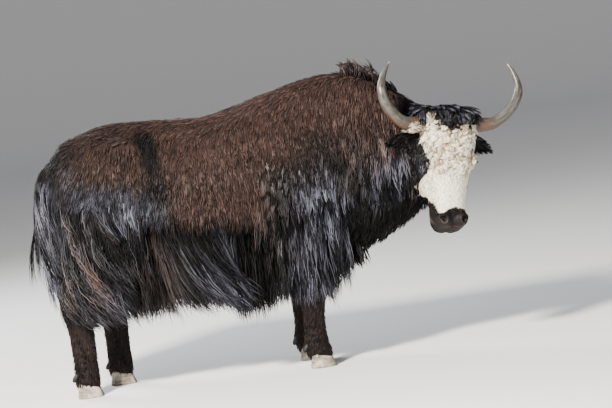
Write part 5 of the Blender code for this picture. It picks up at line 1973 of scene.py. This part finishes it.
class YAK_OT_long(bpy.types.Operator):
    """Grow the long coat of the belly, arms, thighs, neck, crest and tail"""

    bl_idname = "yak.long_coat"
    bl_label = "Long coat"

    def execute(self, context):
        pieces = [("coat_skirt_right", skirt_region(-1)), ("coat_skirt_left", skirt_region(1)),
                  ("coat_arm_right", arm_region(-1)), ("coat_arm_left", arm_region(1)),
                  ("coat_thigh_right", thigh_region(-1)), ("coat_thigh_left", thigh_region(1)),
                  ("coat_neck", neck_region()), ("coat_belly", under_region()), ("coat_crest", crest_region()),
                  ("coat_tail", tail_region())]
        return grow_all(pieces, "long_coat", 0.50, 1.0, 2)


class YAK_OT_legs(bpy.types.Operator):
    """Grow the short hair of the legs"""

    bl_idname = "yak.legs"
    bl_label = "Leg hair"

    def execute(self, context):
        pieces = [("coat_fore_legs", leg_region("fore")), ("coat_hind_legs", leg_region("hind"))]
        return grow_all(pieces, "leg_hair", 0.60, 0.22, 3)


class YAK_OT_head(bpy.types.Operator):
    """Grow the curls, forelock, cheeks and short hair of the head"""

    bl_idname = "yak.head_coat"
    bl_label = "Head coat"

    def execute(self, context):
        pieces = [("coat_curls", curl_region()), ("coat_poll", poll_region()), ("coat_cheeks", cheek_region()),
                  ("coat_face", face_region()), ("coat_ears", ear_region()), ("coat_tuft", tuft_region()),
                  ("coat_lashes", lash_region())]
        return grow_all(pieces, "head_coat", 0.52, 1.0, 4)


class YAK_OT_eyes(bpy.types.Operator):
    """Set the eyes in their lids"""

    bl_idname = "yak.eyes"
    bl_label = "Eyes"

    def execute(self, context):
        make_eyes()
        return {"FINISHED"}


class YAK_OT_horns(bpy.types.Operator):
    """Sheathe the horns"""

    bl_idname = "yak.horns"
    bl_label = "Horns"

    def execute(self, context):
        make_horns()
        return {"FINISHED"}


class YAK_OT_hooves(bpy.types.Operator):
    """Shape the hooves and dewclaws"""

    bl_idname = "yak.hooves"
    bl_label = "Hooves"

    def execute(self, context):
        make_hooves()
        return {"FINISHED"}


class YAK_OT_stage(bpy.types.Operator):
    """Lay the floor and set the lights and the camera"""

    bl_idname = "yak.stage"
    bl_label = "Stage"

    def execute(self, context):
        make_stage()
        return {"FINISHED"}


OPERATORS = (YAK_OT_stage, YAK_OT_skin, YAK_OT_back, YAK_OT_long, YAK_OT_legs, YAK_OT_head, YAK_OT_eyes, YAK_OT_horns,
             YAK_OT_hooves)


class YAK_PT_panel(bpy.types.Panel):
    """Lists the animal's pieces and their settings"""

    bl_idname = "YAK_PT_panel"
    bl_label = "Yak"
    bl_space_type = "VIEW_3D"
    bl_region_type = "UI"
    bl_category = "Yak"

    def draw(self, context):
        for settings in (context.scene.yak_body, context.scene.yak_coat):
            for name in settings.bl_rna.properties.keys():
                if name not in ("rna_type", "name"):
                    self.layout.prop(settings, name)
        for operator in OPERATORS:
            self.layout.operator(operator.bl_idname)


CLASSES = (CoatSettings, BodySettings, *OPERATORS, YAK_PT_panel)


def register():
    for item in CLASSES:
        bpy.utils.register_class(item)
    bpy.types.Scene.yak_coat = PointerProperty(type=CoatSettings)
    bpy.types.Scene.yak_body = PointerProperty(type=BodySettings)


def unregister():
    del bpy.types.Scene.yak_coat
    del bpy.types.Scene.yak_body
    for item in reversed(CLASSES):
        bpy.utils.unregister_class(item)


def main():
    register()
    bpy.ops.yak.stage()
    bpy.ops.yak.skin()
    bpy.ops.yak.back()
    bpy.ops.yak.long_coat()
    bpy.ops.yak.legs()
    bpy.ops.yak.head_coat()
    bpy.ops.yak.eyes()
    bpy.ops.yak.horns()
    bpy.ops.yak.hooves()


if __name__ == "__main__":
    main()
